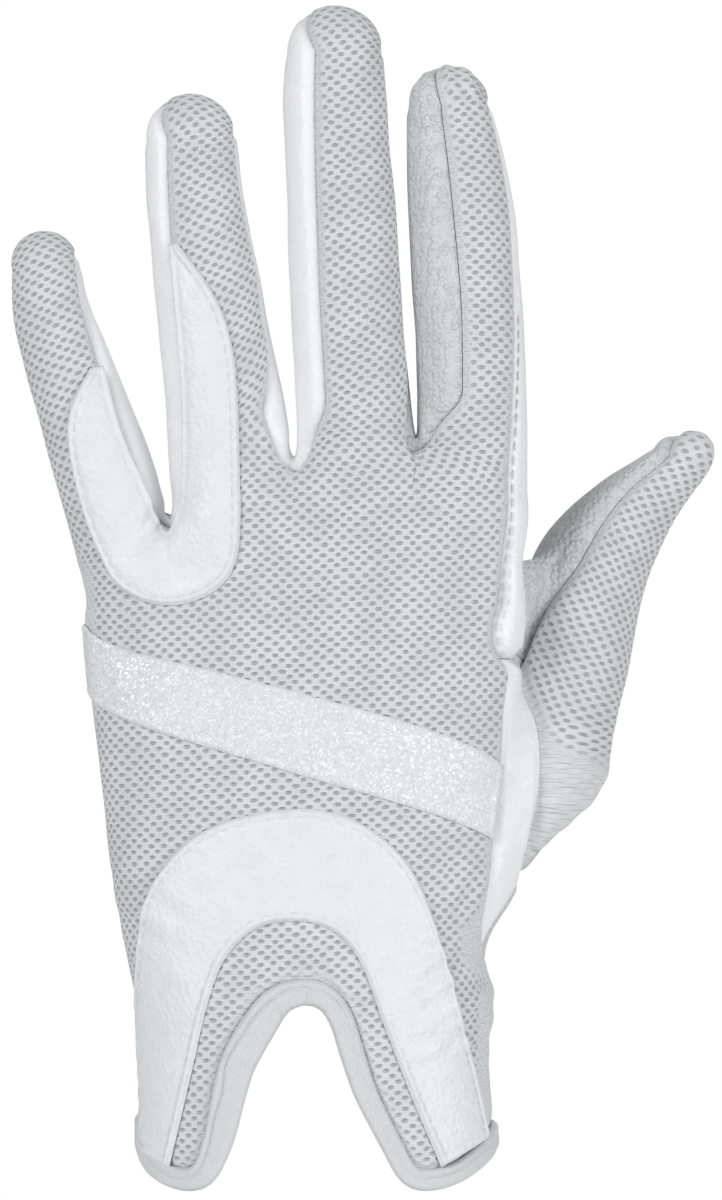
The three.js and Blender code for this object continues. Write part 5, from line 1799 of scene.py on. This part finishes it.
@dataclass(frozen=True)
class GlitterFabric(Finish):
    """Woven polyester with glitter flakes fused on, laid on Object coordinates."""

    # To the eye: white, with single flakes that catch the light as they tilt, some of them painted lighter as
    # glint. Real flakes are about 0.2 mm wide. They are drawn 0.38 mm wide, so that they still show.
    name: str = "fused_glitter_fabric"
    base: str = "#dcdde0"
    # Lighter colour painted on the brightest flakes as glint
    flake_painted_glint: str = "#edeef0"
    dark: str = "#d2d3d6"
    flake_size: float = 0.38
    cluster: float = 2.2
    weave: float = 0.35
    weave_depth: float = 0.2
    tilt: Triple = (0.36, 0.36, 0.36)

    def look(self, add: Adder) -> dict[str, object]:
        """Says what goes into the shader."""
        place = add("TexCoord", out="Object")
        flakes = add("TexVoronoi", Vector=place, Scale=1 / (self.flake_size * MM), out="Color")
        chance_of_light, chance_of_dark = add("SeparateXYZ", flakes).node.outputs[:2]
        clusters = add("TexNoise", Vector=place, Scale=1 / (self.cluster * MM), Detail=2.0)
        chance = add("Math", chance_of_light, add("Math", clusters, 0.5, **TIMES), **PLUS)
        bright = add("MapRange", chance, 0.95, 1.15, **SMOOTH)
        dim = add("MapRange", chance_of_dark, 0.55, 0.95, **SMOOTH)
        colour = add("Mix", dim, A_Color=linear(self.base), B_Color=linear(self.dark), **TONES)
        # Painted glint on the brightest flakes
        colour = add("Mix", bright, A_Color=colour, B_Color=linear(self.flake_painted_glint), **TONES)
        metallic = add("Math", bright, 0.15, **TIMES)
        roughness = add("MapRange", chance, 0.9, 1.2, 0.65, 0.42, **SMOOTH)
        tilt = add("VectorMath", flakes, HALF, **MINUS)
        normal = add("NewGeometry", out="Normal")
        tilted = add("VectorMath", tilt, self.tilt, normal, operation="MULTIPLY_ADD")
        even = add("VectorMath", tilted, operation="NORMALIZE")
        weave = add("TexNoise", Vector=place, Scale=1 / (self.weave * MM))
        bump = add("Bump", Height=weave, Strength=0.5, Distance=self.weave_depth * MM, Normal=even)
        return {"Base Color": colour, "Metallic": metallic, "Roughness": roughness, "Normal": bump}


@dataclass(frozen=True)
class BindingTape(Finish):
    """Woven polyester binding tape, laid on the tape's own thread coordinates."""

    # To the eye: matt white tape with fine ribs across it, drawn a little coarser than real ones, with shade
    # painted darker where the weave is low.
    name: str = "woven_binding_tape"
    base: str = "#e0e1e3"
    # Colour painted where the weave is low, as its shade
    groove: str = "#cfd0d3"
    rib: float = 0.62
    thread: float = 0.496
    wander: float = 2.0
    wander_pull: float = 0.6
    grain: float = 0.25
    depth: float = 0.18

    def look(self, add: Adder) -> dict[str, object]:
        """Says what goes into the shader."""
        uv = add("UVMap", uv_map="threads")
        wander = add("TexNoise", Vector=uv, Scale=1 / self.wander, Detail=1.0)
        u, v = add("SeparateXYZ", uv).node.outputs[:2]
        shifted = add("Math", u, add("Math", wander, self.wander_pull, **TIMES), **PLUS)
        rib = add("Math", add("Math", shifted, math.tau / self.rib, **TIMES), operation="SINE")
        thread = add("Math", add("Math", v, math.tau / self.thread, **TIMES), operation="SINE")
        weave = add("Math", rib, thread, **TIMES)
        fine = add("TexNoise", Vector=uv, Scale=1 / self.grain, Detail=2.0)
        height = add("Math", add("Math", weave, 0.5, **TIMES), fine, **PLUS)
        # Painted shade: the groove colour where the weave is low, the base colour where it is high
        tone = add("MapRange", height, 0.0, 1.2, **SMOOTH)
        colour = add("Mix", tone, A_Color=linear(self.groove), B_Color=linear(self.base), **TONES)
        bump = add("Bump", Height=height, Strength=0.6, Distance=self.depth * MM)
        return {"Base Color": colour, "Normal": bump, "Roughness": 0.7, "Specular IOR Level": 0.3,
                "Sheen Weight": 0.15}


@dataclass(frozen=True)
class SewingThread(Finish):
    """Spun polyester sewing thread, laid on Object coordinates."""

    # To the eye: a matt white thread, with shade painted a little darker where its plies twist away.
    name: str = "spun_sewing_thread"
    base: str = "#e3e4e6"
    shade: str = "#d2d3d6"
    twist: float = 0.3
    depth: float = 0.1

    def look(self, add: Adder) -> dict[str, object]:
        """Says what goes into the shader."""
        place = add("TexCoord", out="Object")
        twist = add("TexNoise", Vector=place, Scale=1 / (self.twist * MM))
        # Painted shade: darker where the twist is low
        tone = add("MapRange", twist, 0.35, 0.65, **SMOOTH)
        colour = add("Mix", tone, A_Color=linear(self.shade), B_Color=linear(self.base), **TONES)
        bump = add("Bump", Height=twist, Strength=0.6, Distance=self.depth * MM)
        return {"Base Color": colour, "Normal": bump, "Roughness": 0.75}


@dataclass(frozen=True)
class StudioFloor(Finish):
    """Matt painted floor of the studio, laid on Object coordinates, which are metres."""

    # To the eye: an even, nearly white ground
    name: str = "matt_studio_floor"
    base: str = "#fafafa"
    shade: str = "#f4f4f4"
    cloud: float = 1 / 3

    def look(self, add: Adder) -> dict[str, object]:
        """Says what goes into the shader."""
        place = add("TexCoord", out="Object")
        cloud = add("TexNoise", Vector=place, Scale=1 / self.cloud)
        colour = add("Mix", cloud, A_Color=linear(self.shade), B_Color=linear(self.base), **TONES)
        return {"Base Color": colour, "Roughness": 0.9}


@dataclass
class Studio:
    """Pale floor, plain white surroundings, soft lamps and the camera at the photograph's angle."""

    centre: Pair = (0.00836, 0.1121)
    distance: float = 1.25
    frame_height: float = 0.2280
    floor_height: float = -0.075
    floor_radius: float = 0.62
    surroundings: float = 0.38
    white: tuple[float, float, float, float] = (1.0, 1.0, 1.0, 1.0)
    # Each lamp's name, place and size in metres and power in watts, and the place that they face
    lamps: tuple[tuple[str, Triple, float, float], ...] = (
        ("key", (-0.95, -1.1, 0.75), 0.7, 11.5),
        ("fill", (1.05, -1.0, 0.25), 0.9, 9.4),
        ("back", (0.3, 1.1, 0.9), 1.2, 4.0))
    lit_place: Triple = (0.0, 0.0, 0.11)

    def build(self) -> None:
        """Builds everything that isn't the glove."""
        self.camera()
        self.world()
        self.floor()
        for lamp in self.lamps:
            self.lamp(*lamp)
        bpy.context.scene.view_settings.view_transform = "Standard"

    def camera(self) -> None:
        """Adds the camera, level and square to the back of the hand."""
        data = bpy.data.cameras.new("camera")
        data.sensor_width = 36.0
        data.lens = 36.0 * self.distance / self.frame_height
        data.clip_start, data.clip_end = 0.05, 20.0
        camera = bpy.data.objects.new("camera", data)
        camera.location = (self.centre[0], -self.distance, self.centre[1])
        camera.rotation_euler = (math.pi / 2, 0, 0)
        bpy.context.scene.collection.objects.link(camera)
        bpy.context.scene.camera = camera

    def world(self) -> None:
        """Makes the surroundings white to the eye and a little dimmer as a light."""
        world = bpy.data.worlds.new("studio")
        world.use_nodes = True
        bpy.context.scene.world = world
        world.node_tree.nodes.clear()
        add = partial(add_node, world.node_tree)
        seen = add("Background", self.white, 1.0)
        lit = add("Background", self.white, self.surroundings)
        add("OutputWorld", add("MixShader", add("LightPath", out="Is Camera Ray"), lit, seen))

    def floor(self) -> None:
        """Adds the pale floor under the glove."""
        bpy.ops.object.select_all(action="DESELECT")
        bpy.ops.mesh.primitive_circle_add(vertices=96, radius=self.floor_radius, fill_type="NGON",
                                          location=(0, 0, self.floor_height))
        floor = bpy.context.object
        floor.name = "floor"
        floor.data.materials.append(StudioFloor().build())

    def lamp(self, name: str, place: Triple, size: float, power: float) -> None:
        """Adds a soft, round lamp that faces the glove."""
        data = bpy.data.lights.new(name, "AREA")
        data.shape, data.size, data.energy = "DISK", size, power
        lamp = bpy.data.objects.new(name, data)
        lamp.location = place
        lamp.rotation_euler = (Vector(self.lit_place) - Vector(place)).to_track_quat("-Z", "Y").to_euler()
        bpy.context.scene.collection.objects.link(lamp)


@dataclass
class RidingGlove:
    """The whole glove."""

    mesh_wall: float = 0.9
    leather_wall: float = 1.0
    thumb_seam: float = 1.35

    def build(self) -> None:
        """Builds every piece in order."""
        form = HandForm()
        plan = SeamPlan(form)
        tailor = Tailor(form, plan, Relief())
        mesh = AirMesh().build()
        leather = SyntheticLeather().build()
        # The palm leather: a copy with a comb of cells, painted greyer as shade for the thumb's inner side
        # and the wall between the middle and index fingers; the palm panel has it too
        palm = SyntheticLeather(name="embossed_palm_leather_painted_shade", emboss=1.15, emboss_depth=0.26,
                               crease_depth=0.07, base="#d2d3d6", shade="#cacbce").build()
        # The trim leather: a copy with a smoother grain, painted lighter as light on two side walls, the
        # index strip and the gusset
        smooth = SyntheticLeather(name="smooth_trim_leather_painted_light", pebble_depth=0.06, crease_depth=0.08,
                                  base="#efeff1", shade="#ebecee").build()
        thread = SewingThread().build()
        self.panels(tailor, mesh, palm, smooth)
        self.trims(tailor, leather, thread)

    def panels(self, tailor: Tailor, mesh: Material, palm: Material,
               smooth: Material) -> None:
        """Makes the panels that cover the hand."""
        knit, leather = Slot.AIR_MESH, Slot.LEATHER
        thin, thick, deep = self.mesh_wall, self.leather_wall, self.thumb_seam
        back = BodyPanel(tailor.plan, Face.BACK).grids()
        tailor.panel(Cut("back_panel", mesh, knit, (0.115, 0.235), 0.0172), back, thin)
        front = BodyPanel(tailor.plan, Face.PALM, least_step=1.0, evening=50.0).grids()
        tailor.panel(Cut("palm_panel", palm, leather, (0.105, 0.225), 0.0136), front, thick)
        # The wall between the middle and index fingers has the palm leather, painted greyer as shade, and the
        # other two walls have the trim leather, painted lighter as light
        walls = ("fourchette_little_ring", "fourchette_ring_middle", "fourchette_middle_index")
        for n, name in enumerate(walls):
            cut = Cut(name, palm if n == MIDDLE else smooth, leather, (0.016, 0.165), 0.0014)
            tailor.panel(cut, tailor.side_wall(n), thick)
        # The index strip and the gusset have the trim leather, painted lighter as light
        strip = Cut("index_strip", smooth, leather, (0.014, 0.115), 0.0009)
        tailor.panel(strip, tailor.index_strip(), thick)
        tailor.panel(Cut("thumb_gusset", smooth, leather, (0.02, 0.058), 0.0006), tailor.gusset(), thick)
        outer = Cut("thumb_back", mesh, knit, (0.05, 0.095), 0.0020)
        tailor.panel(outer, tailor.thumb_panel(False), thin, deep)
        # The thumb's palm side has the palm leather, painted greyer as shade
        inner = Cut("thumb_palm", palm, leather, (0.06, 0.095), 0.0033)
        tailor.panel(inner, tailor.thumb_panel(True), thick, deep)

    def trims(self, tailor: Tailor, leather: Material, thread: Material) -> None:
        """Makes what is sewn onto the mesh, the cuff's binding and the stitches."""
        hem = Hem()
        patch, arch, band = (kind(tailor).grid() for kind in (WebPatch, CuffArch, GlitterBand))
        tailor.overlay(Cut("web_patch", leather, Slot.LEATHER, (0.05, 0.075), 0.0016), patch, hem)
        tailor.overlay(Cut("cuff_arch", leather, Slot.LEATHER, (0.07, 0.068), 0.0023), arch, hem)
        glitter = Cut("glitter_band", GlitterFabric().build(), Slot.GLITTER, (0.014, 0.1), 0.0013)
        tailor.overlay(glitter, band, Hem(thickness=0.35, fold_lift=0.12, stitch_dip=0.1))
        CuffBinding(tailor).build(BindingTape().build())
        stitching = Stitching(tailor)
        height = tailor.fullness + hem.clearance + hem.thickness
        inset = hem.stitch_inset
        patch_lines = [(stitching.line(patch, inset, True), height)]
        stitching.build("web_patch_stitches", patch_lines, thread, Slot.LEATHER)
        arch_lines = [(stitching.line(arch, inset, last), height) for last in (False, True)]
        stitching.build("cuff_arch_stitches", arch_lines, thread, Slot.LEATHER)
        strip = tailor.index_strip().places[0]
        strip_lines = [(stitching.line(strip[:len(strip) * 3 // 5], 0.9, False), -0.2)]
        stitching.build("index_strip_stitches", strip_lines, thread, Slot.LEATHER)


def main() -> None:
    """Builds the studio and the glove."""
    logging.basicConfig(level=logging.INFO, format="%(name)s: %(message)s")
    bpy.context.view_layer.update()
    Studio().build()
    RidingGlove().build()


if __name__ == "__main__":
    main()
